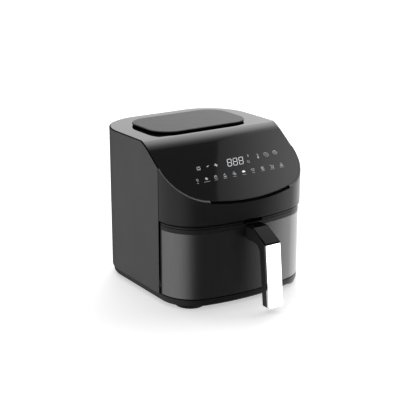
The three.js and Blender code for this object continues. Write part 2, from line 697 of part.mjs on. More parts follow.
function makeExhaustDuct() {
  const back = rearY - GRILLE.thickness - CLEAR;
  const outer = new THREE.Shape();
  outer.moveTo(ductHalf, back);
  outer.lineTo(-ductHalf, back);
  outer.absarc(0, CHAMBER.y, ductHalf, Math.PI, 2 * Math.PI, false);
  const inner = new THREE.Shape();
  const half = ductHalf - DUCT.wall;
  inner.moveTo(half, back + EPS);
  inner.lineTo(-half, back + EPS);
  inner.absarc(0, CHAMBER.y, half, Math.PI, 2 * Math.PI, false);
  const top = ductZ + DUCT.height;
  const duct = cut(
    extrudeZ(outer, ductZ, top),
    extrudeZ(inner, ductZ + DUCT.wall, top + EPS),
    rod(SHAFT.hole, ductZ - EPS, ductZ + DUCT.wall + EPS, 0, CHAMBER.y),
  );
  putSolid('exhaust_duct', duct, FINISHES.matte);
}

// ---------------------------------------------------------------- sensors, boards and wires
function makeSensors() {
  const [probeX, probeY] = onRing(sensorRing, SENSOR.deg);
  const seat = shieldTop + CLEAR;
  const probe = [
    [0, linerTop - SENSOR.reach],
    [SENSOR.rod, linerTop - SENSOR.reach],
    [SENSOR.rod, seat],
    [SENSOR.head, seat],
    [SENSOR.head, seat + SENSOR.headHeight],
    [0, seat + SENSOR.headHeight],
  ];
  putSolid('temperature_sensor', turned(probe, probeX, probeY, ROUND.screw), FINISHES.steel);
  const [discX, discY] = onRing(cutoutRing, CUTOUT.deg);
  putSolid('thermal_cutout', rod(CUTOUT.radius, seat, seat + CUTOUT.height, discX, discY), FINISHES.ceramic);
}

function makeControls() {
  const panel = new THREE.Group();
  panel.position.set(0, CONTROL.y, slopeZ(CONTROL.y));
  panel.rotation.x = slopeRad;
  model.add(panel);
  const top = -CONTROL.drop;
  const board = box(
    -CONTROL.width / 2,
    CONTROL.width / 2,
    -CONTROL.height / 2,
    CONTROL.height / 2,
    top - CONTROL.thickness,
    top,
  );
  putSolid('control_board', board, FINISHES.board, panel);
  const left = DISPLAY.x - DISPLAY.width / 2;
  const halfHeight = DISPLAY.height / 2;
  const under = -COVER.thickness - CLEAR;
  const display = box(left, left + DISPLAY.width, -halfHeight, halfHeight, top + CLEAR, under);
  putSolid('display_module', display, FINISHES.glass, panel);
}

function makePowerBoard() {
  const { halfWidth, height, thickness } = POWER;
  const [y, bottom] = [powerY, powerBottom];
  const overlap = 0.5;
  const board = join(
    box(-halfWidth, halfWidth, y, y + thickness, bottom, bottom + height),
    box(-40, -18, y - 15, y + overlap, bottom + 10, bottom + 30),
    box(14, 42, y - 20, y + overlap, bottom + 8, bottom + 34),
    rodY(7, y - 16, y + overlap, -2, bottom + 46),
    box(-44, -24, y - 10, y + overlap, bottom + 42, bottom + 54),
  );
  putSolid('power_board', board, FINISHES.board);
}

function makeWires() {
  const wireY = powerY + POWER.thickness + WIRE.hole;
  const supply = [
    new THREE.Vector3(GLAND.x, rearY - GLAND.length - CLEAR, GLAND.z),
    new THREE.Vector3(GLAND.x, wireY + 2, GLAND.z + 5),
    new THREE.Vector3(GLAND.x, wireY, GLAND.z + 20),
    new THREE.Vector3(GLAND.x, wireY, MID.bottom),
    new THREE.Vector3(GLAND.x, wireY, powerBottom + POWER.height / 2),
  ];
  put('supply_wire', sweptTube(supply, WIRE.radius, 24, 8), FINISHES.silicone);
  const sideX = (CHAMBER.radius + BODY.width / 2) / 2;
  const boardY = CONTROL.y + (CONTROL.height / 2) * slopeCos + CONTROL.drop * Math.sin(slopeRad);
  const boardZ = slopeZ(boardY, CONTROL.drop);
  const harness = [
    new THREE.Vector3(CONTROL.width / 2 - 15, boardY + 4, boardZ + 1),
    new THREE.Vector3(CONTROL.width / 2, boardY + 12, boardZ),
    new THREE.Vector3(sideX - 3, CHAMBER.y - 30, shieldTop + 12),
    new THREE.Vector3(sideX - 3, CHAMBER.y + 40, shieldTop + 8),
    new THREE.Vector3(sideX - 25, powerY - 25, shieldTop + 4),
    new THREE.Vector3(POWER.halfWidth + 4, powerY, shieldTop),
  ];
  put('panel_harness', sweptTube(harness, WIRE.radius, 26, 8), FINISHES.silicone);
}

// ---------------------------------------------------------------- drawer switch
const leverPlace = { y: basketRearY + LEVER.basketGap, z: LUG.bottom + LUG.height + LEVER.lugGap };

function makeDrawerSwitch() {
  const back = bayRearY - BAY.wall - CLEAR;
  const front = leverPlace.y + LEVER.boss + CLEAR;
  const half = SWITCH.width / 2;
  const body = box(-half, half, front, back, SWITCH.bottom, SWITCH.bottom + SWITCH.height);
  putSolid('switch_body', body, FINISHES.coated);
  const width = LEVER.width / 2;
  const arm = box(
    -width,
    width,
    leverPlace.y - LEVER.thickness / 2,
    leverPlace.y + LEVER.thickness / 2,
    leverPlace.z - LEVER.length,
    leverPlace.z + LEVER.length,
  );
  const pivot = new THREE.CylinderGeometry(LEVER.boss, LEVER.boss, LEVER.width, 12).rotateZ(Math.PI / 2);
  const hub = solid(pivot.translate(0, leverPlace.y, leverPlace.z));
  putSolid('switch_lever', join(arm, hub), FINISHES.steel);
}

// ---------------------------------------------------------------- drawer
function basketShape(grow) {
  const half = BASKET.halfWidth + grow;
  return roundedRectangle(-half, half, BASKET.frontY - grow, basketRearY + grow, BASKET.corner + grow);
}

function basketScrewPlaces() {
  const y = BASKET.frontY - BASKET.flange / 2;
  return { left: [-BASKET_SCREW.x, y], right: [BASKET_SCREW.x, y] };
}

function makeDrawerFrame() {
  const recess = DRAWER.inset + DRAWER.skin + CLEAR;
  const inner = recess + DRAWER.wall;
  const skinBottom = DRAWER.bottom + 0.7;
  const skinTop = drawerTop - DRAWER.trimHeight + CLEAR;
  const front = SEAM_Y - CLEAR;
  const shell = hoop(DRAWER.inset, inner, DRAWER.bottom, drawerTop);
  const pocket = common(
    hoop(-EPS, recess, skinBottom, skinTop),
    frontOf(front - DRAWER.strip + CLEAR),
  );
  const topDeck = cut(
    plan(recess, deckTop - DECK.thickness, deckTop),
    extrudeZ(basketShape(RUN), 0, drawerTop),
  );
  const bottomDeck = plan(recess, DRAWER.bottom, DRAWER.bottom + DECK.thickness);
  let frame = common(join(cut(shell, pocket), topDeck, bottomDeck), frontOf(front));
  for (const z of [HANDLE_SCREW.lowZ, HANDLE_SCREW.highZ]) {
    frame = cut(frame, rodY(SCREW.hole, -EPS, BASKET.frontY - RUN, 0, z));
  }
  for (const [x, y] of Object.values(basketScrewPlaces())) {
    frame = cut(frame, rod(SCREW.hole, deckTop - DECK.thickness - EPS, drawerTop, x, y));
  }
  putSolid('drawer_frame', frame, FINISHES.matte);
  const skin = common(
    hoop(DRAWER.inset, DRAWER.inset + DRAWER.skin, skinBottom + CLEAR, skinTop - CLEAR),
    frontOf(front - DRAWER.strip),
  );
  const levels = [HANDLE_SCREW.lowZ, HANDLE_SCREW.highZ];
  const holes = levels.map((z) => rodY(SCREW.hole, -EPS, BASKET.frontY, 0, z));
  putSolid('drawer_skin', cut(skin, ...holes), FINISHES.brushed);
}

function makeBasket() {
  const top = flangeBottom + BASKET.flangeThickness;
  const shell = join(
    extrudeZ(basketShape(0), BASKET.bottom, top),
    extrudeZ(basketShape(BASKET.flange), flangeBottom, top),
    box(
      -LUG.width / 2,
      LUG.width / 2,
      basketRearY - BASKET.wall / 2,
      leverPlace.y - LEVER.thickness / 2 - CLEAR,
      LUG.bottom,
      LUG.bottom + LUG.height,
    ),
  );
  const places = Object.values(basketScrewPlaces());
  const holes = places.map(([x, y]) => rod(SCREW.hole, flangeBottom - EPS, top + EPS, x, y));
  const hollow = extrudeZ(basketShape(-BASKET.wall), basketFloorTop, top + EPS);
  putSolid('basket', cut(shell, hollow, ...holes), FINISHES.coated);
}

function makeBasketScrews() {
  const seat = flangeBottom + BASKET.flangeThickness + CLEAR;
  const tip = seat - BASKET_SCREW.length;
  for (const [side, [x, y]] of Object.entries(basketScrewPlaces())) {
    const profile = [
      [0, tip],
      [SCREW.shank, tip],
      [SCREW.shank, seat],
      [SCREW.head, seat],
      [SCREW.head, seat + BASKET_SCREW.headHeight - CLEAR],
      [0, seat + BASKET_SCREW.headHeight - CLEAR],
    ];
    putSolid(`basket_screw_${side}`, turned(profile, x, y, ROUND.screw), FINISHES.steel);
  }
}

// ---------------------------------------------------------------- crisper plate
function makeCrisperPlate() {
  let plate = extrudeZ(basketShape(-BASKET.wall - PLATE.gap), plateBottom, plateBottom + PLATE.thickness);
  const centreY = BASKET.frontY + BASKET.depth / 2;
  for (let row = 0; row < PLATE.rows; row += 1) {
    for (let column = 0; column < PLATE.columns; column += 1) {
      const x = (column - (PLATE.columns - 1) / 2) * PLATE.pitchX;
      const y = centreY + (row - (PLATE.rows - 1) / 2) * PLATE.pitchY;
      const slot = box(
        x - PLATE.slotX / 2,
        x + PLATE.slotX / 2,
        y - PLATE.slotY / 2,
        y + PLATE.slotY / 2,
        plateBottom - EPS,
        plateBottom + PLATE.thickness + EPS,
      );
      const [fromRow, fromColumn] = [row - (PLATE.rows - 1) / 2, column - (PLATE.columns - 1) / 2];
      const corner = Math.abs(fromRow) > 2 && Math.abs(fromColumn) > 1;
      if (!corner) plate = cut(plate, slot);
    }
  }
  putSolid('crisper_plate', plate, FINISHES.coated);
  const inset = BASKET.wall + PLATE.gap + BUMPER.edge;
  const reachX = BASKET.halfWidth - inset;
  const reachY = BASKET.depth / 2 - inset;
  const places = { front: [0, -reachY], rear: [0, reachY], left: [-reachX, 0], right: [reachX, 0] };
  const half = BUMPER.size / 2;
  for (const [name, [x, dy]] of Object.entries(places)) {
    const y = centreY + dy;
    const foot = box(x - half, x + half, y - half, y + half, basketFloorTop + CLEAR, plateBottom - CLEAR);
    putSolid(`plate_bumper_${name}`, foot, FINISHES.silicone);
  }
}

// ---------------------------------------------------------------- handle
function makeHandle() {
  const half = HANDLE.width / 2;
  const root = DRAWER.inset - CLEAR;
  const { top, bottom, reach, rootBottom, cap, trim } = HANDLE;
  const { breakY, noseY, noseZ } = HANDLE_TOP;
  const trimBackTop = noseY + trim;
  const trimBackBottom = trim - reach + 0.5;
  const body = polygon([
    [root, top - cap - CLEAR],
    [root, rootBottom + 2],
    [root - 5, rootBottom],
    [-14, rootBottom],
    [-24, rootBottom + 0.5],
    [-33, rootBottom - 3.5],
    [GRIP.backTopY, GRIP.backTopZ],
    [GRIP.backBottomY, bottom],
    [trimBackBottom + CLEAR, bottom],
    [trimBackTop + CLEAR, noseZ - cap - CLEAR],
    [breakY, top - cap - CLEAR],
  ]);
  const levels = [HANDLE_SCREW.lowZ, HANDLE_SCREW.highZ];
  const holes = levels.map((z) => rodY(SCREW.hole, -HANDLE_SCREW.length, root + EPS, 0, z));
  putSolid('handle_body', cut(extrudeX(body, -half, half), ...holes), FINISHES.matte);
  const capShape = polygon([
    [root, top],
    [breakY, top],
    [noseY, noseZ],
    [noseY, noseZ - cap],
    [breakY, top - cap],
    [root, top - cap],
  ]);
  putSolid('handle_cap', extrudeX(capShape, -half, half), FINISHES.gloss);
  const trimTop = noseZ - cap - CLEAR;
  const trimShape = polygon([
    [noseY, trimTop],
    [-reach, bottom],
    [trimBackBottom, bottom],
    [trimBackTop, trimTop],
  ]);
  putSolid('handle_trim', extrudeX(trimShape, -half, half), FINISHES.chrome);
}

function makeHandleScrews() {
  const seat = DRAWER.inset + DRAWER.skin + CLEAR + DRAWER.wall + CLEAR;
  const places = { lower: HANDLE_SCREW.lowZ, upper: HANDLE_SCREW.highZ };
  for (const [name, z] of Object.entries(places)) {
    const shank = rodY(SCREW.shank, seat - HANDLE_SCREW.length, seat + CLEAR, 0, z, ROUND.screw);
    const head = rodY(SCREW.head, seat, seat + HANDLE_SCREW.headHeight, 0, z, ROUND.screw);
    putSolid(`handle_screw_${name}`, join(shank, head), FINISHES.steel);
  }
}

makeBasePan();
makeFeet();
makeBaseScrews();
makeBodyWrap();
makeFrontBezel();
makeTopCover();
makeInletPad();
makeRearGrille();
makeCordGland();
makeMidFrame();
makeDrawerBay();
makeRails();
makeChamberLiner();
makeHeatShield();
makeHeater();
makeHeaterGuard();
makeRotor();
makeMotor();
makeExhaustDuct();
makeSensors();
makeControls();
makePowerBoard();
makeWires();
makeDrawerSwitch();
makeDrawerFrame();
makeBasket();
makeBasketScrews();
makeCrisperPlate();
makeHandle();
makeHandleScrews();

export default fryer;
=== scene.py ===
"""A basket air fryer on a pale studio floor, dressed round its fixed CAD frame."""

from __future__ import annotations

import json
import logging
import math
from dataclasses import dataclass, field
from enum import Enum
from typing import Callable, Iterable, Sequence
import bmesh
import bpy
from mathutils import Matrix, Vector


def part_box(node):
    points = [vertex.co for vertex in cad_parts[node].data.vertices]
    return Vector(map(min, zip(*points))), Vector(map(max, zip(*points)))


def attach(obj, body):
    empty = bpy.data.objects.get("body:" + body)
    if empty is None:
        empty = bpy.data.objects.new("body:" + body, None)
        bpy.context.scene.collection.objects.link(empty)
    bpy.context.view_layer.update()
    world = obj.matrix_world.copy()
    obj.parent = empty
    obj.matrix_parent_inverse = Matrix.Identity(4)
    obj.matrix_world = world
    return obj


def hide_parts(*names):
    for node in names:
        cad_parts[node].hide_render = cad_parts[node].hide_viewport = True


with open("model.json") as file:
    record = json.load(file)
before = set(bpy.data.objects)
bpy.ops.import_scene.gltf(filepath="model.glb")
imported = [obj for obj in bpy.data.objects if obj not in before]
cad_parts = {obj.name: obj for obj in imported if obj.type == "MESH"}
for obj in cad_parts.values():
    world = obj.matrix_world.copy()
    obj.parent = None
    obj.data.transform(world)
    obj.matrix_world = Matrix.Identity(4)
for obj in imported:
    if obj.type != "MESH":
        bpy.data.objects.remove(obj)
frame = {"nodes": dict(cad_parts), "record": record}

LOG = logging.getLogger("air_fryer")
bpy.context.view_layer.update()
MM = 0.001
QUARTER = math.pi / 2
MERGE = 0.001 * MM  # points closer than this are one point
ROOM = 1.0  # well past the appliance on every side
SUNK = -0.1  # well below the floor


class Body(Enum):
    """The bodies that the dressed pieces ride on."""

    HOUSING = "housing"
    DRAWER = "drawer"
    CRISPER = "crisper"


class Axis(Enum):
    """The three directions of the appliance."""

    X = Vector((1, 0, 0))
    Y = Vector((0, 1, 0))
    Z = Vector((0, 0, 1))


# ---------------------------------------------------------------- shader bench


class Value:
    """A shader number that Python expressions can be written with."""

    def __init__(self, bench: Bench, socket: bpy.types.NodeSocket) -> None:
        """Keeps the socket and the bench that adds nodes for it."""
        self.bench = bench
        self.socket = socket

    def _math(self, operation: str, first: Value | float, second: Value | float) -> Value:
        """Adds one Math node and returns its result."""
        return self.bench.make("ShaderNodeMath", {"operation": operation}, {0: first, 1: second})

    def __add__(self, other: Value | float) -> Value:
        """Sum."""
        return self._math("ADD", self, other)

    __radd__ = __add__

    def __mul__(self, other: Value | float) -> Value:
        """Product."""
        return self._math("MULTIPLY", self, other)

    __rmul__ = __mul__

    def __sub__(self, other: Value | float) -> Value:
        """Difference."""
        return self._math("SUBTRACT", self, other)

    def __rsub__(self, other: Value | float) -> Value:
        """Difference from a number."""
        return self._math("SUBTRACT", other, self)

    def between(self, low: float, high: float, start: float = 0.0, end: float = 1.0) -> Value:
        """A smooth step between two levels.

        Args:
            low: Where the step begins.
            high: Where the step ends.
            start: The result up to low.
            end: The result from high on.

        Returns:
            The stepped value.
        """
        settings = {"interpolation_type": "SMOOTHSTEP"}
        inputs = {0: self, 1: low, 2: high, 3: start, 4: end}
        return self.bench.make("ShaderNodeMapRange", settings, inputs)


Colour = Sequence[float] | Value


class Bench:
    """Adds nodes to one tree, whether a material's or the world's."""

    def __init__(self, tree: bpy.types.NodeTree) -> None:
        """Empties the tree."""
        self.tree = tree
        tree.nodes.clear()

    def make(
        self,
        kind: str,
        settings: dict[str, object] | None = None,
        inputs: dict[int | str, object] | None = None,
        output: int | str = 0,
    ) -> Value:
        """Adds one node.

        Args:
            kind: The node's type name.
            settings: Properties of the node, set first.
            inputs: Values or links by socket name or number.
            output: The output socket that is handed back.

        Returns:
            The chosen output as a value.
        """
        node = self.tree.nodes.new(kind)
        for key, setting in (settings or {}).items():
            setattr(node, key, setting)
        for key, given in (inputs or {}).items():
            if isinstance(given, Value):
                self.tree.links.new(given.socket, node.inputs[key])
            else:
                node.inputs[key].default_value = given
        return Value(self, node.outputs[output])

    def end(self, kind: str, shader: Value) -> None:
        """Joins the finished shader to an output node."""
        node = self.tree.nodes.new(kind)
        self.tree.links.new(shader.socket, node.inputs["Surface"])

    def place(
        self, stretch: Sequence[float] = (1, 1, 1), turn: Sequence[float] = (0, 0, 0)
    ) -> Value:
        """Object coordinates, stretched and turned for a pattern.

        Args:
            stretch: How many times denser the pattern is along each axis.
            turn: The pattern's rotation in radians.

        Returns:
            The coordinates.
        """
        start = self.make("ShaderNodeTexCoord", output="Object")
        inputs = {"Vector": start, "Scale": stretch, "Rotation": turn}
        return self.make("ShaderNodeMapping", {}, inputs)

    def noise(
        self, where: Value, scale: float, detail: float = 2.0, roughness: float = 0.5
    ) -> Value:
        """Cloudy noise from 0 to 1."""
        inputs = {"Vector": where, "Scale": scale, "Detail": detail, "Roughness": roughness}
        return self.make("ShaderNodeTexNoise", {}, inputs)

    def cells(self, where: Value, scale: float) -> Value:
        """Distance to scattered points."""
        return self.make("ShaderNodeTexVoronoi", {}, {"Vector": where, "Scale": scale})

    def blend(self, amount: Value | float, first: Colour, second: Colour) -> Value:
        """Mixes two colours.

        Args:
            amount: How much of the second colour there is.
            first: The colour at 0.
            second: The colour at 1.

        Returns:
            The mixed colour.
        """
        settings = {"data_type": "RGBA", "clamp_factor": True}
        colours = {0: amount, 6: _rgba(first), 7: _rgba(second)}
        return self.make("ShaderNodeMix", settings, colours, output=2)

    def bump(self, height: Value, distance: float) -> Value:
        """A bump normal from a height."""
        return self.make("ShaderNodeBump", {}, {"Height": height, "Distance": distance})


def _rgba(colour: Colour) -> Colour:
    """Gives a plain colour its fourth number."""
    return colour if isinstance(colour, Value) or len(colour) == 4 else (*colour, 1.0)


def _grey(level: float) -> tuple[float, float, float]:
    """A neutral colour."""
    return (level, level, level)


# ---------------------------------------------------------------- finishes


@dataclass(frozen=True)
class Surface:
    """What every finish shares: a name and the shader's fixed sockets."""

    name: str

    @property
    def title(self) -> str:
        """The material's name in the scene."""
        return f"finish_{self.name}"

    def build(self) -> bpy.types.Material:
        """Makes the material.

        Returns:
            The new material.
        """
        material = bpy.data.materials.new(self.title)
        material.use_nodes = True
        bench = Bench(material.node_tree)
        shader = bench.make("ShaderNodeBsdfPrincipled", {}, self.sockets(bench), output="BSDF")
        bench.end("ShaderNodeOutputMaterial", shader)
        return material

    def sockets(self, bench: Bench) -> dict[int | str, object]:
        """The shader's inputs."""
        raise NotImplementedError


@dataclass(frozen=True)
class MouldedPlastic(Surface):
    """Spark-eroded matt plastic: a fine even grain with slightly shiny peaks."""

    level: float
    roughness: float
    grain: float = 1500.0
    depth: float = 0.00004
    mottle: float = 0.16
    specular: float = 0.5
    tint: tuple[float, float, float] = (1.0, 1.0, 1.02)

    def sockets(self, bench: Bench) -> dict[int | str, object]:
        """Grain in the bump, a soft mottle in the colour and the gloss.

        Args:
            bench: The material's bench.

        Returns:
            The shader's inputs.
        """
        where = bench.place()
        grain = bench.noise(where, self.grain, 3.0, 0.6)
        clouds = bench.noise(where, self.grain / 60, 2.0)
        dark = [self.level * (1 - self.mottle) * part for part in self.tint]
        light = [self.level * (1 + self.mottle) * part for part in self.tint]
        mask = (grain * 0.75 + clouds * 0.25).between(0.3, 0.7)
        return {
            "Base Color": bench.blend(mask, dark, light),
            "Roughness": (grain * 0.1 + clouds * 0.06) + (self.roughness - 0.08),
            "Specular IOR Level": self.specular,
            "Normal": bench.bump(grain, self.depth),
        }


@dataclass(frozen=True)
class PolishedPanel(Surface):
    """Piano-black moulding: deep gloss with the faintest moulding ripple."""

    level: float = 0.0035
    roughness: float = 0.02
    ripple: float = 0.000012
    specular: float = 0.5

    def sockets(self, bench: Bench) -> dict[int | str, object]:
        """A faint ripple in the normal and faint wipe marks in the gloss.

        Args:
            bench: The material's bench.

        Returns:
            The shader's inputs.
        """
        where = bench.place()
        ripple = bench.noise(where, 34.0, 1.0)
        wipes = bench.noise(bench.place((1, 6, 6), (0, 0, 0.6)), 22.0, 3.0)
        return {
            "Base Color": bench.blend(wipes, _grey(self.level * 0.8), _grey(self.level * 1.3)),
            "Roughness": wipes.between(0.35, 0.75, self.roughness, self.roughness + 0.012),
            "Specular IOR Level": self.specular,
            "Normal": bench.bump(ripple, self.ripple),
        }


@dataclass(frozen=True)
class BrushedSheet(Surface):
    """Sheet steel with a long brushed grain."""

    level: float
    roughness: float
    stretch: tuple[float, float, float] = (1.0, 1.0, 0.02)
    streaks: float = 900.0
    depth: float = 0.000006
    tint: tuple[float, float, float] = (1.0, 1.0, 1.01)

    def sockets(self, bench: Bench) -> dict[int | str, object]:
        """Streaks in the colour, gloss and bump, with a slow variation over them.

        Args:
            bench: The material's bench.

        Returns:
            The shader's inputs.
        """
        where = bench.place(self.stretch)
        streaks = bench.noise(where, self.streaks, 4.0, 0.7)
        broad = bench.noise(bench.place(), 9.0, 2.0)
        dark = [self.level * 0.93 * part for part in self.tint]
        light = [self.level * 1.07 * part for part in self.tint]
        return {
            "Base Color": bench.blend(streaks.between(0.3, 0.7), dark, light),
            "Metallic": 1.0,
            "Roughness": streaks * 0.08 + broad * 0.04 + (self.roughness - 0.06),
            "Normal": bench.bump(streaks, self.depth),
        }


@dataclass(frozen=True)
class BrightChrome(Surface):
    """Mirror-bright plated trim with a trace of handling haze."""

    level: float = 0.9

    def sockets(self, bench: Bench) -> dict[int | str, object]:
        """A little haze in the gloss.

        Args:
            bench: The material's bench.

        Returns:
            The shader's inputs.
        """
        haze = bench.noise(bench.place(), 60.0, 3.0)
        return {
            "Base Color": bench.blend(haze, _grey(self.level * 0.97), _grey(self.level)),
            "Metallic": 1.0,
            "Roughness": haze.between(0.3, 0.8, 0.03, 0.07),
        }


@dataclass(frozen=True)
class FleckedCoating(Surface):
    """Baked non-stick coating with fine flecks."""

    level: float = 0.02
    roughness: float = 0.38

    def sockets(self, bench: Bench) -> dict[int | str, object]:
        """Small pale flecks over a soft orange-peel.

        Args:
            bench: The material's bench.

        Returns:
            The shader's inputs.
        """
        where = bench.place()
        flecks = 1 - bench.cells(where, 700.0).between(0.1, 0.22)
        rare = bench.noise(where, 420.0, 1.0).between(0.55, 0.62)
        peel = bench.noise(where, 260.0, 2.0)
        return {
            "Base Color": bench.blend(flecks * rare, _grey(self.level), _grey(self.level * 7)),
            "Roughness": peel * 0.12 + (self.roughness - 0.06),
            "Normal": bench.bump(peel, 0.00006),
        }


@dataclass(frozen=True)
class SoftRubber(Surface):
    """Matt rubber with a dry bloom."""

    level: float
    roughness: float = 0.8

    def sockets(self, bench: Bench) -> dict[int | str, object]:
        """Bloom in the colour, fine pores in the bump.

        Args:
            bench: The material's bench.

        Returns:
            The shader's inputs.
        """
        where = bench.place()
        bloom = bench.noise(where, 45.0, 4.0, 0.6)
        pores = bench.noise(where, 1600.0, 2.0)
        dusty = bloom.between(0.35, 0.75)
        return {
            "Base Color": bench.blend(dusty, _grey(self.level), _grey(self.level * 1.5)),
            "Roughness": bloom * 0.12 + (self.roughness - 0.06),
            "Normal": bench.bump(pores, 0.00004),
        }


@dataclass(frozen=True)
class CircuitBoard(Surface):
    """Green solder mask over copper tracks."""

    def sockets(self, bench: Bench) -> dict[int | str, object]:
        """Tracks as a brick pattern's joints, seen through the mask.

        Args:
            bench: The material's bench.

        Returns:
            The shader's inputs.
        """
        settings = {"offset": 0.37, "squash": 0.6, "squash_frequency": 3}
        sizes = {"Scale": 260.0, "Mortar Size": 0.05, "Brick Width": 1.7, "Row Height": 0.6}
        inputs = {"Vector": bench.place(), **sizes}
        tracks = bench.make("ShaderNodeTexBrick", settings, inputs, output="Fac")
        mask = bench.noise(bench.place(), 120.0, 2.0)
        return {
            "Base Color": bench.blend(tracks, (0.006, 0.05, 0.02, 1), (0.03, 0.16, 0.07, 1)),
            "Roughness": mask * 0.1 + 0.3,
            "Normal": bench.bump(tracks, 0.00004),
        }


@dataclass(frozen=True)
class SmokedGlass(Surface):
    """Smoked display window with a dark honeycomb behind it."""

    def sockets(self, bench: Bench) -> dict[int | str, object]:
        """A faint cell pattern under a clear gloss.

        Args:
            bench: The material's bench.

        Returns:
            The shader's inputs.
        """
        cells = bench.cells(bench.place(), 240.0).between(0.2, 0.5)
        return {
            "Base Color": bench.blend(cells, _grey(0.006), _grey(0.014)),
            "Roughness": cells * 0.05 + 0.07,
        }


@dataclass(frozen=True)
class FiredCeramic(Surface):
    """Unglazed white ceramic."""

    def sockets(self, bench: Bench) -> dict[int | str, object]:
        """Fine pores and a warm mottle.

        Args:
            bench: The material's bench.

        Returns:
            The shader's inputs.
        """
        pores = bench.noise(bench.place(), 600.0, 3.0)
        return {
            "Base Color": bench.blend(pores, (0.62, 0.58, 0.5, 1), (0.74, 0.71, 0.64, 1)),
            "Roughness": pores * 0.15 + 0.65,
            "Normal": bench.bump(pores, 0.00005),
        }


@dataclass(frozen=True)
class LitSymbol(Surface):
    """A lit legend: white light through a printed window."""

    strength: float
    colour: tuple[float, float, float] = (0.93, 0.97, 1.0)

    def sockets(self, bench: Bench) -> dict[int | str, object]:
        """Slightly uneven light, as from a few small lamps behind a diffuser.

        Args:
            bench: The material's bench.

        Returns:
            The shader's inputs.
        """
        lamps = bench.noise(bench.place(), 130.0, 1.0)
        dim = [part * 0.82 for part in self.colour]
        return {
            "Base Color": (0.05, 0.05, 0.05, 1.0),
            "Roughness": 0.4,
            "Emission Color": bench.blend(lamps.between(0.35, 0.65), dim, self.colour),
            "Emission Strength": self.strength,
        }


@dataclass(frozen=True)
class PaleFloor(Surface):
    """The studio's white floor, bright enough to melt into the room."""

    def sockets(self, bench: Bench) -> dict[int | str, object]:
        """A nearly even white that glows a little.

        Args:
            bench: The material's bench.

        Returns:
            The shader's inputs.
        """
        speck = bench.noise(bench.place(), 3.0, 2.0)
        return {
            "Base Color": bench.blend(speck, _grey(0.8), _grey(0.82)),
            "Roughness": 0.9,
            "Specular IOR Level": 0.1,
            "Emission Color": (1, 1, 1, 1),
            "Emission Strength": 0.5,
        }


class Finish(Enum):
    """Every finish on the appliance."""

    CHARCOAL = MouldedPlastic(
        "charcoal_shell", 0.058, 0.5, grain=1100.0, depth=0.00006, mottle=0.2
    )
    BEZEL = MouldedPlastic(
        "bezel_black", 0.011, 0.34, grain=1700.0, depth=0.00002, specular=0.4
    )
    MATTE = MouldedPlastic("matte_black", 0.012, 0.42, specular=0.35)
    # Painted shade: a near-black laid on faces in seams, gaps, the slot and under the pad, where
    # the real parts lie in shadow.
    SEAM_SHADE = MouldedPlastic("seam_painted_shade", 0.0012, 0.7, specular=0.02)
    # Painted shade: a darker black for the bezel's faces under its overhang and in the groove over
    # the strip.
    UNDER_SHADE = MouldedPlastic("under_edge_painted_shade", 0.003, 0.5, specular=0.12)
    # Painted highlight: a lighter black for the bezel's sloped rim, where light catches it.
    RIM_HIGHLIGHT = MouldedPlastic("panel_rim_painted_highlight", 0.05, 0.4, depth=0.00001)
    GLOSS = PolishedPanel("gloss_black")
    CAP = PolishedPanel("handle_gloss", level=0.004, roughness=0.16, specular=0.12)
    SATIN = MouldedPlastic(
        "pad_satin", 0.058, 0.42, grain=2200.0, depth=0.00001, mottle=0.05, specular=0.11
    )
    STEEL = BrushedSheet("dark_steel", 0.2, 0.34)
    CHROME = BrightChrome("chrome")
    SHEET = BrushedSheet("plain_steel", 0.46, 0.33, stretch=(0.03, 1.0, 1.0), streaks=500.0)
    TURNED = BrushedSheet("turned_steel", 0.52, 0.28, stretch=(1.0, 1.0, 0.1), streaks=700.0)
    ELEMENT = BrushedSheet(
        "element_sheath", 0.2, 0.45, stretch=(1, 1, 1), streaks=160.0, tint=(1.0, 0.93, 0.86)
    )
    MOTOR = BrushedSheet("motor_can", 0.4, 0.38, stretch=(1.0, 1.0, 0.05), streaks=300.0)
    COATED = FleckedCoating("non_stick")
    RUBBER = SoftRubber("foot_rubber", 0.012)
    SILICONE = SoftRubber("soft_silicone", 0.032, 0.6)
    BOARD = CircuitBoard("circuit_board")
    GLASS = SmokedGlass("display_glass")
    CERAMIC = FiredCeramic("ceramic")
    LIT = LitSymbol("lit_digits", 1.15)
    LIT_SOFT = LitSymbol("lit_symbols", 0.5)
    LIT_FAINT = LitSymbol("lit_captions", 0.36)

    @property
    def material(self) -> bpy.types.Material:
        """The finish's material, made once."""
        known = bpy.data.materials.get(self.value.title)
        return known or self.value.build()


SLOT_FINISHES: dict[str, Finish] = {
    "charcoal_shell": Finish.CHARCOAL,
    "matte_black": Finish.MATTE,
    "gloss_black": Finish.GLOSS,
    "pad_satin": Finish.SATIN,
    "dark_steel": Finish.STEEL,
    "chrome": Finish.CHROME,
    "plain_steel": Finish.SHEET,
    "coated_metal": Finish.COATED,
    "rubber": Finish.RUBBER,
    "silicone": Finish.SILICONE,
    "circuit_board": Finish.BOARD,
    "display_glass": Finish.GLASS,
    "ceramic": Finish.CERAMIC,
}


# ---------------------------------------------------------------- solid modelling


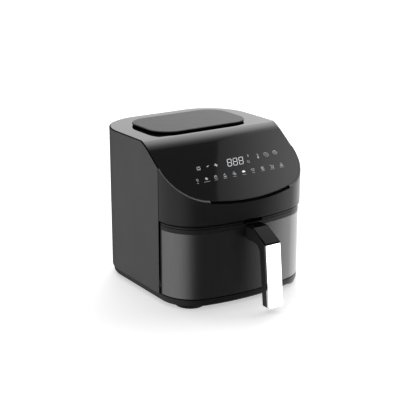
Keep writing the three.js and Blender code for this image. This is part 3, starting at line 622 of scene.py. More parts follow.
@dataclass
class Solid:
    """One closed body under construction, with the operators that shape it."""

    bm: bmesh.types.BMesh

    @classmethod
    def block(cls, low: Sequence[float], high: Sequence[float]) -> Solid:
        """A box between two corners.

        Args:
            low: The corner with the lowest coordinates.
            high: The corner with the highest.

        Returns:
            The box.
        """
        bm = bmesh.new()
        bmesh.ops.create_cube(bm, size=1)
        size = Vector(high) - Vector(low)
        middle = (Vector(high) + Vector(low)) / 2
        place = Matrix.Translation(middle) @ Matrix.Diagonal((*size, 1))
        bmesh.ops.transform(bm, matrix=place, verts=bm.verts)
        return cls(bm)

    @classmethod
    def rounded_block(
        cls, low: Sequence[float], high: Sequence[float], radius: float, steps: int
    ) -> Solid:
        """A box whose upright edges are rounded."""
        return cls.block(low, high).rounded(lambda edge: _along(edge, Axis.Z), radius, steps)

    @classmethod
    def run(cls, points: Iterable[Sequence[float]], start: float, end: float) -> Solid:
        """A side view run along X.

        Args:
            points: Corners of the outline, as (y, z).
            start: Where the run starts.
            end: Where it ends.

        Returns:
            The closed solid.
        """
        bm = bmesh.new()
        for across, up in points:
            bm.verts.new((start, across, up))
        bm.faces.new(bm.verts)
        return cls(bm).thickened(Vector((end - start, 0, 0)))

    @classmethod
    def turned(
        cls,
        profile: Iterable[Sequence[float]],
        centre: Vector,
        axis: Axis = Axis.Z,
        steps: int = 64,
    ) -> Solid:
        """A profile turned about an axis.

        Args:
            profile: Corners of the profile, as (radius, height along the axis).
            centre: A point on the axis, at height zero.
            axis: The axis, Y or Z.
            steps: Number of flats round the axis.

        Returns:
            The turned solid.
        """
        bm = bmesh.new()
        side, along = Axis.X.value, axis.value
        verts = [bm.verts.new(centre + side * out + along * height) for out, height in profile]
        edges = [bm.edges.new(pair) for pair in zip(verts, verts[1:])]
        bmesh.ops.spin(
            bm,
            geom=verts + edges,
            cent=centre,
            axis=along,
            angle=math.tau,
            steps=steps,
            use_merge=True,
        )
        bmesh.ops.remove_doubles(bm, verts=bm.verts, dist=MERGE)
        bmesh.ops.recalc_face_normals(bm, faces=bm.faces)
        return cls(bm)

    def thickened(self, along: Vector) -> Solid:
        """Pulls a flat face out into a closed solid.

        Args:
            along: How far, and in which direction.

        Returns:
            This solid.
        """
        pulled = bmesh.ops.extrude_face_region(self.bm, geom=self.bm.faces[:])["geom"]
        bmesh.ops.translate(self.bm, vec=along, verts=_verts(pulled))
        bmesh.ops.recalc_face_normals(self.bm, faces=self.bm.faces)
        return self

    def rounded(
        self, chosen: Callable[[bmesh.types.BMEdge], bool], radius: float, steps: int
    ) -> Solid:
        """Rounds the chosen edges.

        Args:
            chosen: True for an edge that is rounded.
            radius: The rounding.
            steps: Number of flats across it.

        Returns:
            This solid.
        """
        edges = [edge for edge in self.bm.edges if chosen(edge)]
        bmesh.ops.bevel(
            self.bm,
            geom=edges,
            affect="EDGES",
            offset=radius,
            offset_type="OFFSET",
            segments=steps,
            profile=0.5,
            material=-1,
            clamp_overlap=True,
        )
        return self

    def eased(self, radius: float, steps: int = 2, sharper_than: float = 40.0) -> Solid:
        """Breaks every sharp edge.

        Args:
            radius: The rounding.
            steps: Number of flats across it.
            sharper_than: The turn between two faces, in degrees, that counts as sharp.

        Returns:
            This solid.
        """
        limit = math.radians(sharper_than)

        def sharp(edge: bmesh.types.BMEdge) -> bool:
            """True where the surface turns by more than the limit."""
            return edge.is_manifold and edge.calc_face_angle(0.0) > limit

        return self.rounded(sharp, radius, steps)

    def hollowed(self, wall: float, floor: float) -> Solid:
        """Sinks the top face.

        Args:
            wall: Thickness left round the hollow.
            floor: Height of the hollow's floor.

        Returns:
            This solid.
        """
        top = max(self.bm.faces, key=lambda face: face.calc_center_median().z)
        bmesh.ops.inset_region(self.bm, faces=[top], thickness=wall, use_even_offset=True)
        sunk = bmesh.ops.extrude_face_region(self.bm, geom=[top])["geom"]
        drop = floor - _verts(sunk)[0].co.z
        bmesh.ops.translate(self.bm, vec=(0, 0, drop), verts=_verts(sunk))
        if top.is_valid:
            bmesh.ops.delete(self.bm, geom=[top], context="FACES_ONLY")
        return self

    def _boolean(self, other: Solid, operation: str) -> Solid:
        """Combines this solid with another.

        Args:
            other: The other solid.
            operation: The boolean modifier's word for what is kept.

        Returns:
            This solid.
        """
        base, tool = self.as_object("base"), other.as_object("tool")
        step = base.modifiers.new("combine", "BOOLEAN")
        step.operation, step.object, step.solver = operation, tool, "EXACT"
        bpy.context.view_layer.update()
        shaped = base.evaluated_get(bpy.context.evaluated_depsgraph_get()).to_mesh()
        result = bmesh.new()
        result.from_mesh(shaped)
        for piece in (base, tool):
            mesh = piece.data
            bpy.data.objects.remove(piece)
            bpy.data.meshes.remove(mesh)
        bmesh.ops.remove_doubles(result, verts=result.verts, dist=2 * MERGE)
        self.bm.free()
        self.bm = result
        return self

    def cut(self, *tools: Solid) -> Solid:
        """Takes the tools away.

        Args:
            tools: The solids that are cut out, in turn.

        Returns:
            This solid.
        """
        for tool in tools:
            self._boolean(tool, "DIFFERENCE")
        return self

    def join(self, *others: Solid) -> Solid:
        """Adds the others.

        Args:
            others: The solids that are joined on, in turn.

        Returns:
            This solid.
        """
        for other in others:
            self._boolean(other, "UNION")
        return self

    def common(self, *others: Solid) -> Solid:
        """Keeps what all share.

        Args:
            others: The solids that it is narrowed to, in turn.

        Returns:
            This solid.
        """
        for other in others:
            self._boolean(other, "INTERSECT")
        return self

    def beside(self, other: Solid) -> Solid:
        """Takes in another closed body that doesn't touch this one.

        Args:
            other: The other body.

        Returns:
            This solid.
        """
        spare = bpy.data.meshes.new("spare")
        other.bm.to_mesh(spare)
        self.bm.from_mesh(spare)
        bpy.data.meshes.remove(spare)
        return self

    def moved(self, matrix: Matrix) -> Solid:
        """Moves or turns the whole solid."""
        bmesh.ops.transform(self.bm, matrix=matrix, verts=self.bm.verts)
        return self

    def as_object(self, name: str) -> bpy.types.Object:
        """Hands the solid over to the scene.

        Args:
            name: The object's name.

        Returns:
            The object.
        """
        mesh = bpy.data.meshes.new(name)
        self.bm.to_mesh(mesh)
        piece = bpy.data.objects.new(name, mesh)
        bpy.context.scene.collection.objects.link(piece)
        return piece


def _verts(geometry: Iterable[object]) -> list[bmesh.types.BMVert]:
    """Picks the vertices out of mixed geometry."""
    return [part for part in geometry if isinstance(part, bmesh.types.BMVert)]


def _along(edge: bmesh.types.BMEdge, axis: Axis) -> bool:
    """True if the edge runs along the axis."""
    run = (edge.verts[1].co - edge.verts[0].co).normalized()
    return abs(run.dot(axis.value)) > 0.999


def _level(edge: bmesh.types.BMEdge, height: float) -> bool:
    """True if the edge lies flat at that height."""
    return all(abs(vert.co.z - height) < 0.02 * MM for vert in edge.verts)


@dataclass(frozen=True)
class Dressing:
    """Who a finished piece stands for, moves with and looks like."""

    name: str
    body: Body
    finish: Finish
    slot: str
    nodes: tuple[str, ...] = ()


@dataclass(frozen=True)
class Workshop:
    """Turns solids into finished pieces on the appliance."""

    sharp_angle: float = math.radians(50)

    def finish(
        self,
        solid: Solid,
        dressing: Dressing,
        parts: Sequence[tuple[Finish, Callable[[bmesh.types.BMFace], bool]]] = (),
    ) -> bpy.types.Object:
        """Shades and dresses one piece.

        Args:
            solid: The shape.
            dressing: Its name, body, finish and the nodes it stands for.
            parts: Further finishes, each with the faces that take it; the last that fits wins.

        Returns:
            The finished object.
        """
        solid.bm.normal_update()
        for face in solid.bm.faces:
            face.smooth = True
            fitting = (slot for slot, (_, fits) in enumerate(parts, 1) if fits(face))
            face.material_index = max(fitting, default=0)
        piece = solid.as_object(dressing.name)
        solid.bm.free()
        piece.data.materials.append(dressing.finish.material)
        for extra, _ in parts:
            piece.data.materials.append(extra.material)
        piece.data.set_sharp_from_angle(angle=self.sharp_angle)
        even = piece.modifiers.new("even_shading", "WEIGHTED_NORMAL")
        even.keep_sharp, even.mode, even.weight = True, "FACE_AREA", 50
        bpy.context.view_layer.update()
        shaded = piece.evaluated_get(bpy.context.evaluated_depsgraph_get())
        plain, piece.data = piece.data, bpy.data.meshes.new_from_object(shaded)
        piece.modifiers.clear()
        bpy.data.meshes.remove(plain)
        piece.data.name = dressing.name
        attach(piece, dressing.body.value)
        if dressing.nodes:
            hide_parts(*dressing.nodes)
        count = len(piece.data.polygons)
        LOG.info("%s: %d faces, rides on %s", dressing.name, count, dressing.body.value)
        return piece


# ---------------------------------------------------------------- the casing's outline


@dataclass(frozen=True)
class Casing:
    """The casing's outline from above and its sloped top, read from the frame."""

    half: float
    front: float
    back: float
    seam: float
    base: float
    top: float
    front_radius: float = 430 * MM
    front_corner: float = 72 * MM
    rear_corner: float = 90 * MM
    front_height: float = 194.2 * MM
    slope: float = math.radians(36.22)
    fold: float = 22 * MM
    easing: float = 150 * MM
    fold_turn: float = math.radians(26.22)
    corner_steps: int = 22
    bow_steps: int = 18
    fold_steps: int = 14
    spare: float = 10 * MM

    @classmethod
    def read(cls) -> Casing:
        """Takes the outline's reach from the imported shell.

        Returns:
            The casing.
        """
        wrap_low, wrap_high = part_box("body_wrap")
        bezel_low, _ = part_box("front_bezel")
        return cls(wrap_high.x, bezel_low.y, wrap_high.y, wrap_low.y, wrap_low.z, wrap_high.z)

    def outline(self, inset: float, height: float, squeeze: float = 0.0) -> Solid:
        """The flat outline as one face.

        Args:
            inset: How far inside the outer surface it runs.
            height: Its level.
            squeeze: How much further back its front lies.

        Returns:
            A flat face, not yet a solid.
        """
        bm = bmesh.new()
        half, corner, bow = self.half, self.front_corner, self.front_radius
        corner_x = half - corner
        lean = math.asin(corner_x / (bow - corner))
        corner_y = self.front + bow - math.sqrt((bow - corner) ** 2 - corner_x**2)
        rear_x, rear_y = half - self.rear_corner, self.back - self.rear_corner
        pen = bm.verts.new((half - inset, rear_y, height))
        pen = _arc(bm, pen, (rear_x, rear_y, height), QUARTER, self.corner_steps)
        pen = _line(bm, pen, (-rear_x, self.back - inset, height))
        pen = _arc(bm, pen, (-rear_x, rear_y, height), QUARTER, self.corner_steps)
        pen = _line(bm, pen, (inset - half, corner_y, height))
        pen = _arc(bm, pen, (-corner_x, corner_y, height), QUARTER - lean, self.corner_steps)
        pen = _arc(bm, pen, (0, self.front + bow, height), 2 * lean, self.bow_steps)
        pen = _arc(bm, pen, (corner_x, corner_y, height), QUARTER - lean, self.corner_steps)
        _line(bm, pen, (half - inset, rear_y, height))
        bmesh.ops.remove_doubles(bm, verts=bm.verts, dist=MERGE)
        for vert in bm.verts:
            if squeeze and vert.co.y < corner_y:
                vert.co.y += squeeze * (corner_y - vert.co.y) / (corner_y - self.front)
        bmesh.ops.contextual_create(bm, geom=bm.edges[:])
        return Solid(bm)

    def prism(self, inset: float, low: float, high: float, squeeze: float = 0.0) -> Solid:
        """The outline run up from low to high."""
        return self.outline(inset, low, squeeze).thickened(Vector((0, 0, high - low)))

    def hoop(self, outer: float, inner: float, low: float, high: float) -> Solid:
        """A wall between two insets."""
        return self.prism(outer, low, high).cut(self.prism(inner, low - MM, high + MM))

    def slope_height(self, depth: float, drop: float = 0.0) -> float:
        """Height of the sloped face at a depth, lowered square to it by drop."""
        rise = (depth - self.front) * math.tan(self.slope)
        return self.front_height + rise - drop / math.cos(self.slope)

    def under_top(self, drop: float, floor: float) -> Solid:
        """Everything under the top, the fold and the slope.

        The fold turns on a small radius and then eases into the slope on a large one.

        Args:
            drop: How far all three are lowered.
            floor: Height of the solid's flat underside.

        Returns:
            The solid, a little wider and deeper than the casing.
        """
        first_turn, whole = self.fold_turn, self.slope
        fold_end = self.top - self.fold * (1 - math.cos(first_turn))
        easing_end = fold_end - self.easing * (math.cos(first_turn) - math.cos(whole))
        slope_starts = self.front + (easing_end - self.front_height) / math.tan(whole)
        joint = slope_starts + self.easing * (math.sin(whole) - math.sin(first_turn))
        flat_ends = joint + self.fold * math.sin(first_turn)
        easing_y = joint + self.easing * math.sin(first_turn)
        easing_z = fold_end - self.easing * math.cos(first_turn)
        near, far = self.front - self.spare, self.back + self.spare
        side = self.half + self.spare
        small, large = (-side, flat_ends, self.top - self.fold), (-side, easing_y, easing_z)
        bm = bmesh.new()
        pen = first = bm.verts.new((-side, near, floor))
        pen = _line(bm, pen, (-side, far, floor))
        pen = _line(bm, pen, (-side, far, self.top - drop))
        pen = _line(bm, pen, (-side, flat_ends, self.top - drop))
        pen = _arc(bm, pen, small, first_turn, self.fold_steps, Axis.X)
        pen = _arc(bm, pen, large, whole - first_turn, self.fold_steps, Axis.X)
        pen = _line(bm, pen, (-side, near, self.slope_height(near, drop)))
        bm.edges.new((pen, first))
        bmesh.ops.contextual_create(bm, geom=bm.edges[:])
        return Solid(bm).thickened(Vector((2 * side, 0, 0)))

    def ahead(self, depth: float) -> Solid:
        """All the room in front of a depth."""
        return Solid.block((-ROOM, -ROOM, SUNK), (ROOM, depth, ROOM))

    def behind(self, depth: float) -> Solid:
        """All the room behind a depth."""
        return Solid.block((-ROOM, depth, SUNK), (ROOM, ROOM, ROOM))


def _line(
    bm: bmesh.types.BMesh, start: bmesh.types.BMVert, end: Sequence[float]
) -> bmesh.types.BMVert:
    """Draws a straight edge from the pen's place.

    Args:
        bm: The mesh that is drawn in.
        start: The pen's place.
        end: Where the edge ends.

    Returns:
        The pen's new place.
    """
    pulled = bmesh.ops.extrude_vert_indiv(bm, verts=[start])["verts"][0]
    pulled.co = end
    return pulled


def _arc(
    bm: bmesh.types.BMesh,
    start: bmesh.types.BMVert,
    centre: Sequence[float],
    angle: float,
    steps: int,
    axis: Axis = Axis.Z,
) -> bmesh.types.BMVert:
    """Draws an arc from the pen's place.

    Args:
        bm: The mesh that is drawn in.
        start: The pen's place.
        centre: The arc's centre.
        angle: The arc's turn in radians.
        steps: Number of edges.
        axis: The axis it turns about.

    Returns:
        The pen's new place.
    """
    swung = bmesh.ops.spin(bm, geom=[start], cent=centre, axis=axis.value, angle=angle, steps=steps)
    return _verts(swung["geom_last"])[0]


# ---------------------------------------------------------------- sub-assemblies


@dataclass
class BaseAndFeet:
    """The dark base band with its rounded lower edge, and four rubber feet."""

    shop: Workshop
    casing: Casing
    inset: float = 3 * MM
    round_over: float = 5 * MM
    lip_round: float = 0.5 * MM
    wall: float = 6 * MM
    floor: float = 3 * MM
    ring_depth: float = 1 * MM
    foot_round: float = 1.4 * MM

    def build(self) -> None:
        """Makes the pan and the feet."""
        low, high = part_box("base_pan")
        pan = self.casing.prism(self.inset, low.z, high.z)
        pan.rounded(lambda edge: _level(edge, low.z), self.round_over, 5)
        pan.hollowed(self.wall, low.z + self.floor)
        pan.rounded(lambda edge: _level(edge, high.z), self.lip_round, 2)
        dressing = Dressing("base_band", Body.HOUSING, Finish.MATTE, "matte_black", ("base_pan",))
        self.shop.finish(pan, dressing)
        for side in ("front_left", "front_right", "rear_left", "rear_right"):
            self.foot(side)

    def foot(self, side: str) -> None:
        """One foot with a rounded rim, and grip rings sunk in its underside.

        Args:
            side: Which of the four it is, as the end of its node's name.
        """
        node = f"foot_{side}"
        low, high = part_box(node)
        centre = Vector(((low.x + high.x) / 2, (low.y + high.y) / 2, 0))
        radius = (high.y - low.y) / 2
        shares = ((0.0, 1), (0.3, 1), (0.34, 0), (0.5, 0), (0.54, 1), (0.66, 1), (0.7, 0))
        profile = [(radius * share, self.ring_depth * sunk) for share, sunk in shares]
        profile += [(radius - self.foot_round, 0), (radius - 0.5 * MM, 0.4 * MM)]
        profile += [(radius, self.foot_round), (radius, high.z - 1.2 * MM)]
        profile += [(radius - 1 * MM, high.z - 0.6 * MM), (radius - 1 * MM, high.z), (0, high.z)]
        dressing = Dressing(f"rubber_{node}", Body.HOUSING, Finish.RUBBER, "rubber", (node,))
        self.shop.finish(Solid.turned(profile, centre), dressing)


@dataclass
class Shell:
    """The wrapped charcoal shell, the front bezel, the gloss top and the raised pad."""

    shop: Workshop
    casing: Casing
    rim: float = 2.0 * MM
    front_rim: float = 3.6 * MM
    gap: float = 0.4 * MM
    step_down: float = 0.9 * MM
    seam_gap: float = 1.5 * MM
    gland_hole: float = 9.3 * MM
    hole_reach: float = 20 * MM
    # How far a face has to turn towards a direction to be picked for painted shade or a painted
    # highlight.
    tilt_up: float = 0.3
    tilt_down: float = 0.25
    square_on: float = 0.9
    # The bezel: heights are from its lowest point, or from the step over its bottom strip.
    strip_inset: float = 2.9 * MM
    strip_height: float = 5.6 * MM
    strip_gap: float = 0.5 * MM
    strip_top: float = 3.4 * MM
    neck_low: float = 3 * MM
    neck_lap: float = 3 * MM
    neck_wall: float = 3.4 * MM
    neck_top: float = 4 * MM
    seat_inset: float = 9 * MM
    under_round: float = 2.8 * MM
    rim_band: float = 1.2 * MM
    groove_low: float = 3.3 * MM
    slot_half: float = 88 * MM
    slot_width: float = 3.2 * MM
    slot_depth: float = 2.0 * MM
    notch_half: float = 21 * MM
    notch_depth: float = 16 * MM
    notch_height: float = 7 * MM
    notch_round: float = 5 * MM
    # The gloss top and the pad over its air slots.
    skirt: float = 14 * MM
    skirt_wall: float = 2.4 * MM
    cover_thickness: float = 3 * MM
    air_slots: int = 5
    air_pitch: float = 16 * MM
    air_half: tuple[float, float] = (62 * MM, 3 * MM)
    pad_thickness: float = 3.4 * MM
    pad_corner: float = 42 * MM
    pad_steps: int = 18
    pad_round: float = 1.7 * MM
    pad_set_back: float = 3.5 * MM
    # How far up the plate's side the painted shade under the pad reaches.
    pad_shade_band: float = 1.2 * MM
    # The rear outlet.
    grille_rim: float = 4.7 * MM
    louvres: int = 7
    louvre_half: float = 0.8 * MM
    louvre_lean: float = -0.5

    def build(self) -> None:
        """Makes all its pieces."""
        self.wrap()
        self.bezel()
        self.cover()
        self.pad()
        self.grille()
        self.gland()

    def wrap(self) -> None:
        """The side and back shell, with its edges that face up or forward painted near-black as
        shade in the seams.
        """
        casing, reach = self.casing, self.hole_reach
        wall = casing.hoop(0, self.rim, casing.base, casing.top + MM)
        wall.common(casing.under_top(self.step_down, 0), casing.behind(casing.seam))
        low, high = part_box("rear_grille")
        opening_low = (low.x, casing.back - reach, low.z)
        wall.cut(Solid.block(opening_low, (high.x, casing.back + reach, high.z)))
        gland_low, gland_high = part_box("cord_gland")
        middle = (gland_low + gland_high) / 2
        hole = [(0, -reach), (self.gland_hole, -reach), (self.gland_hole, reach), (0, reach)]
        wall.cut(Solid.turned(hole, Vector((middle.x, casing.back, middle.z)), Axis.Y))
        wall.eased(0.45 * MM)
        dressing = Dressing(
            "side_shell", Body.HOUSING, Finish.CHARCOAL, "charcoal_shell", ("body_wrap",)
        )
        # The seam faces take a near-black as painted shade in the gaps by the cover and the bezel.
        self.shop.finish(wall, dressing, [(Finish.SEAM_SHADE, self.on_seam)])

    def on_seam(self, face: bmesh.types.BMFace) -> bool:
        """True for the shell's edges that face up or forward, which take painted shade."""
        return face.normal.z > self.tilt_up or face.normal.y < -self.square_on

    def bezel(self) -> None:
        """The panel's front frame: rounded under edge, recessed strip, slot and thumb notch."""
        casing = self.casing
        low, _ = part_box("front_bezel")
        step, inside = low.z + self.strip_height, self.strip_inset + self.neck_wall
        surround = casing.prism(0, step, casing.top + MM)
        surround.rounded(lambda edge: _level(edge, step), self.under_round, 5)
        neck = casing.prism(self.strip_inset + MM, low.z + self.neck_low, step + self.neck_lap)
        surround.join(neck)
        strip = casing.prism(self.strip_inset, low.z + self.strip_gap, low.z + self.strip_top)
        surround.join(strip)
        surround.common(casing.under_top(0, 0), casing.ahead(casing.seam - self.seam_gap))
        squeeze = self.front_rim - self.rim
        room = casing.prism(self.rim, low.z + 2 * MM, casing.top + 2 * MM, squeeze)
        over_neck = casing.prism(0, step + self.neck_top - 0.1 * MM, casing.top + 3 * MM)
        room.common(casing.prism(inside, 0, step + self.neck_top).join(over_neck))
        seat = casing.prism(self.strip_inset + self.seat_inset, 0, low.z + self.neck_low)
        surround.cut(room, seat)
        surround.cut(self.slot_tool(), self.notch_tool(low.z))
        surround.eased(0.5 * MM)
        groove = low.z + self.groove_low

        def under(face: bmesh.types.BMFace) -> bool:
            """True for the faces over the strip that look down, which take a darker black as
            painted shade.
            """
            return face.normal.z < -self.tilt_down and face.calc_center_median().z > groove

        def in_groove(face: bmesh.types.BMFace) -> bool:
            """True between the strip and the step, where a darker black stands for painted shade.
            """
            return groove < face.calc_center_median().z < step

        self.shop.finish(
            surround,
            Dressing("panel_bezel", Body.HOUSING, Finish.BEZEL, "matte_black", ("front_bezel",)),
            [
                # Painted shade: a darker black under the overhang and in the groove.
                (Finish.UNDER_SHADE, under),
                (Finish.UNDER_SHADE, in_groove),
                # Painted shade: near-black on the back faces at the seam with the shell.
                (Finish.SEAM_SHADE, lambda face: face.normal.y > self.square_on),
                # Painted highlight: a lighter black on the sloped rim.
                (Finish.RIM_HIGHLIGHT, self.on_rim),
                # Painted shade: near-black inside the slot.
                (Finish.SEAM_SHADE, self.in_slot),
            ],
        )

    def on_rim(self, face: bmesh.types.BMFace) -> bool:
        """Picks the bezel's sloped rim, which takes a lighter black as a painted highlight where it
        catches the light.

        Args:
            face: A face of the bezel.

        Returns:
            True if it is part of the rim.
        """
        middle = face.calc_center_median()
        near = abs(middle.z - self.casing.slope_height(middle.y)) < self.rim_band
        return near and face.normal.z > self.tilt_up

    def in_slot(self, face: bmesh.types.BMFace) -> bool:
        """Picks the faces inside the long slot, which are painted near-black as shade.

        Args:
            face: A face of the bezel.

        Returns:
            True if it is in the slot.
        """
        middle = face.calc_center_median()
        depth = self.casing.slope_height(middle.y) - middle.z
        across = abs(middle.x) < self.slot_half + 0.2 * MM
        bottom = self.slot_depth / math.cos(self.casing.slope) + 0.3 * MM
        ahead = middle.y < self.casing.front + 30 * MM
        return across and ahead and 0.8 * MM < depth < bottom

    def slot_tool(self) -> Solid:
        """The long slot under the panel's front edge.

        Returns:
            The room that is cut out of the bezel.
        """
        casing = self.casing
        tool = casing.prism(-MM, 0.1, casing.top)
        tool.cut(casing.prism(self.slot_width, 0, casing.top + MM))
        band = casing.under_top(-1 * MM, 0.1).cut(casing.under_top(self.slot_depth, 0))
        corner = (self.slot_half, casing.front + 40 * MM, ROOM)
        return tool.common(band, Solid.block((-self.slot_half, -ROOM, 0), corner))

    def notch_tool(self, bottom: float) -> Solid:
        """The rounded thumb notch above the handle.

        Args:
            bottom: Height of the bezel's lowest point.

        Returns:
            The room that is cut out of the bezel.
        """
        front = self.casing.front
        low = (-self.notch_half, front - 5 * MM, bottom - 5 * MM)
        high = (self.notch_half, front + self.notch_depth, bottom + self.notch_height)

        def upper(edge: bmesh.types.BMEdge) -> bool:
            """True for the notch's two upper edges."""
            return _along(edge, Axis.Y) and edge.verts[0].co.z > bottom

        return Solid.block(low, high).rounded(upper, self.notch_round, 6)

    def cover(self) -> None:
        """The gloss top: flat lid, rolled bend and sloped panel in one moulding."""
        casing = self.casing
        inset, squeeze = self.rim + self.gap, self.front_rim - self.rim
        lid = casing.prism(inset, 0.15, casing.top + MM, squeeze).common(casing.under_top(0, 0))
        inside = casing.prism(inset + self.skirt_wall, 0.1, casing.top, squeeze)
        inside.common(casing.under_top(self.cover_thickness, 0))
        lid.cut(inside, casing.under_top(self.skirt, -0.05))
        low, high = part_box("inlet_pad")
        middle = (low.y + high.y) / 2
        across, along = self.air_half
        for place in range(self.air_slots):
            y = middle + (place - self.air_slots // 2) * self.air_pitch
            corner = (across, y + along, casing.top + MM)
            lid.cut(Solid.block((-across, y - along, casing.top - 5 * MM), corner))
        lid.eased(0.9 * MM, 3)
        dressing = Dressing(
            "gloss_cover", Body.HOUSING, Finish.GLOSS, "gloss_black", ("top_cover",)
        )
        self.shop.finish(lid, dressing)

    def pad(self) -> None:
        """The raised satin pad on its set-back base, with the base and the plate's lowest band
        painted near-black as shade in the gap under the pad.
        """
        low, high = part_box("inlet_pad")
        plate_low = high.z - self.pad_thickness
        plate_corner = (low.x, low.y, plate_low)
        plate = Solid.rounded_block(plate_corner, high, self.pad_corner, self.pad_steps)
        plate.rounded(lambda edge: _level(edge, high.z), self.pad_round, 4)
        plate.rounded(lambda edge: _level(edge, plate_low), 0.5 * MM, 2)
        back = self.pad_set_back
        base = Solid.rounded_block(
            (low.x + back, low.y + back, low.z),
            (high.x - back, high.y - back, plate_low + 0.2 * MM),
            self.pad_corner - back,
            self.pad_steps,
        )
        plate.beside(base)
        dressing = Dressing(
            "inlet_pad_plate", Body.HOUSING, Finish.SATIN, "pad_satin", ("inlet_pad",)
        )
        # Faces below this height take a near-black as painted shade under the pad.
        dark = plate_low + self.pad_shade_band
        under = (Finish.SEAM_SHADE, lambda face: face.calc_center_median().z < dark)
        self.shop.finish(plate, dressing, [under])

    def grille(self) -> None:
        """The rear outlet: a frame with louvres that lean down to the outside."""
        low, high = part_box("rear_grille")
        rim, half = self.grille_rim, self.louvre_half
        plate = Solid.block(low, high)
        window_low = (low.x + rim, low.y - MM, low.z + rim)
        plate.cut(Solid.block(window_low, (high.x - rim, high.y + MM, high.z - rim)))
        plate.eased(0.7 * MM)
        pitch = (high.z - low.z - 2 * rim) / self.louvres
        for number in range(self.louvres):
            z = low.z + rim + (number + 0.5) * pitch
            bar_low = (low.x + rim - MM, low.y + MM, z - half)
            bar = Solid.block(bar_low, (high.x - rim + MM, high.y - MM, z + half))
            bar.rounded(lambda edge: _along(edge, Axis.X), 0.4 * MM, 2)
            middle = Vector((0, (low.y + high.y) / 2, z))
            turn = Matrix.Rotation(self.louvre_lean, 4, "X")
            bar.moved(Matrix.Translation(middle) @ turn @ Matrix.Translation(-middle))
            plate.beside(bar)
        dressing = Dressing(
            "outlet_louvres", Body.HOUSING, Finish.MATTE, "matte_black", ("rear_grille",)
        )
        self.shop.finish(plate, dressing)

    def gland(self) -> None:
        """The cable entry: a flanged rubber bush with a ribbed mouth."""
        low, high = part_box("cord_gland")
        middle, depth = (low + high) / 2, high.y - low.y
        flange, barrel, bore = (high.x - low.x) / 2, 9 * MM, 4 * MM
        flange_back, face = -1.2 * MM, -0.5 * MM
        profile = [(bore, -depth), (barrel, -depth), (barrel, flange_back), (flange, flange_back)]
        profile += [(flange, face), (flange - 0.8 * MM, 0)]
        profile += [(7.4 * MM, 0), (7 * MM, face), (5.6 * MM, face), (5.2 * MM, 0)]
        profile += [(bore + 0.4 * MM, 0), (bore, -0.4 * MM), (bore, -depth)]
        solid = Solid.turned(profile, Vector((middle.x, high.y, middle.z)), Axis.Y, 48)
        dressing = Dressing("cable_bush", Body.HOUSING, Finish.RUBBER, "rubber", ("cord_gland",))
        self.shop.finish(solid, dressing)


class Pen(Enum):
    """The kinds of stroke, each named for the method that lays it."""

    BAR = "bar"
    DOT = "dot"
    RING = "ring"
    BOX = "box"


@dataclass(frozen=True)
class Stroke:
    """One stroke of a symbol: its place from the symbol's middle, and its own sizes."""

    pen: Pen
    x: float
    y: float
    sizes: tuple[float, ...]


@dataclass(frozen=True)
class Symbol:
    """A symbol's place on the panel and its strokes, in millimetres and radians."""

    x: float
    y: float
    strokes: tuple[Stroke, ...]


@dataclass(frozen=True)
class Preset:
    """One symbol of the lower row: its place across, its caption's length, its strokes."""

    x: float
    caption: float
    strokes: tuple[Stroke, ...]


FUNCTIONS: tuple[Symbol, ...] = (
    # chamber lamp
    Symbol(-72, 71, (
        Stroke(Pen.BOX, 0, 0, (6.5, 5.5, 0.8)),
        Stroke(Pen.BAR, 0, 1.6, (4, 0.8, 0.5)),
        Stroke(Pen.BAR, 0, -1.4, (4, 0.8, -0.5)),
    )),
    # shake reminder
    Symbol(-52, 72, (Stroke(Pen.BAR, 0, 0, (5.5, 1.5, 0.35)),)),
    # fan
    Symbol(-34, 71.5, tuple(
        Stroke(Pen.BAR, 0, 0, (7.5 if turn % 2 == 0 else 4.2, 1.7, turn * QUARTER / 2))
        for turn in range(4)
    )),
    # heat mark over a small ring
    Symbol(40, 77.4, (
        Stroke(Pen.BAR, 0, 2, (3.6, 0.8, QUARTER)),
        Stroke(Pen.DOT, 0, 0, (1.1,)),
    )),
    Symbol(37.5, 67.3, (Stroke(Pen.RING, 0, 0, (2.6, 0.7)),)),
    # thermometer
    Symbol(61.5, 71.6, (
        Stroke(Pen.BAR, 0, 4.4, (7, 1.1, QUARTER)),
        Stroke(Pen.DOT, 0, 0, (1.9,)),
        Stroke(Pen.BAR, 2.1, 5.6, (1.5, 0.6)),
    )),
    # clock
    Symbol(81, 74.6, (
        Stroke(Pen.RING, 0, 0, (4.9, 0.8)),
        Stroke(Pen.BAR, 1, 0, (2.6, 0.8)),
        Stroke(Pen.BAR, 0, 1.2, (2.9, 0.8, QUARTER)),
    )),
    # power
    Symbol(102, 75.6, (
        Stroke(Pen.RING, 0, 0, (4.7, 0.8)),
        Stroke(Pen.BAR, 0, 0, (6, 0.9, 2.4)),
        Stroke(Pen.BAR, 0, 2, (3, 0.9, QUARTER)),
    )),
)

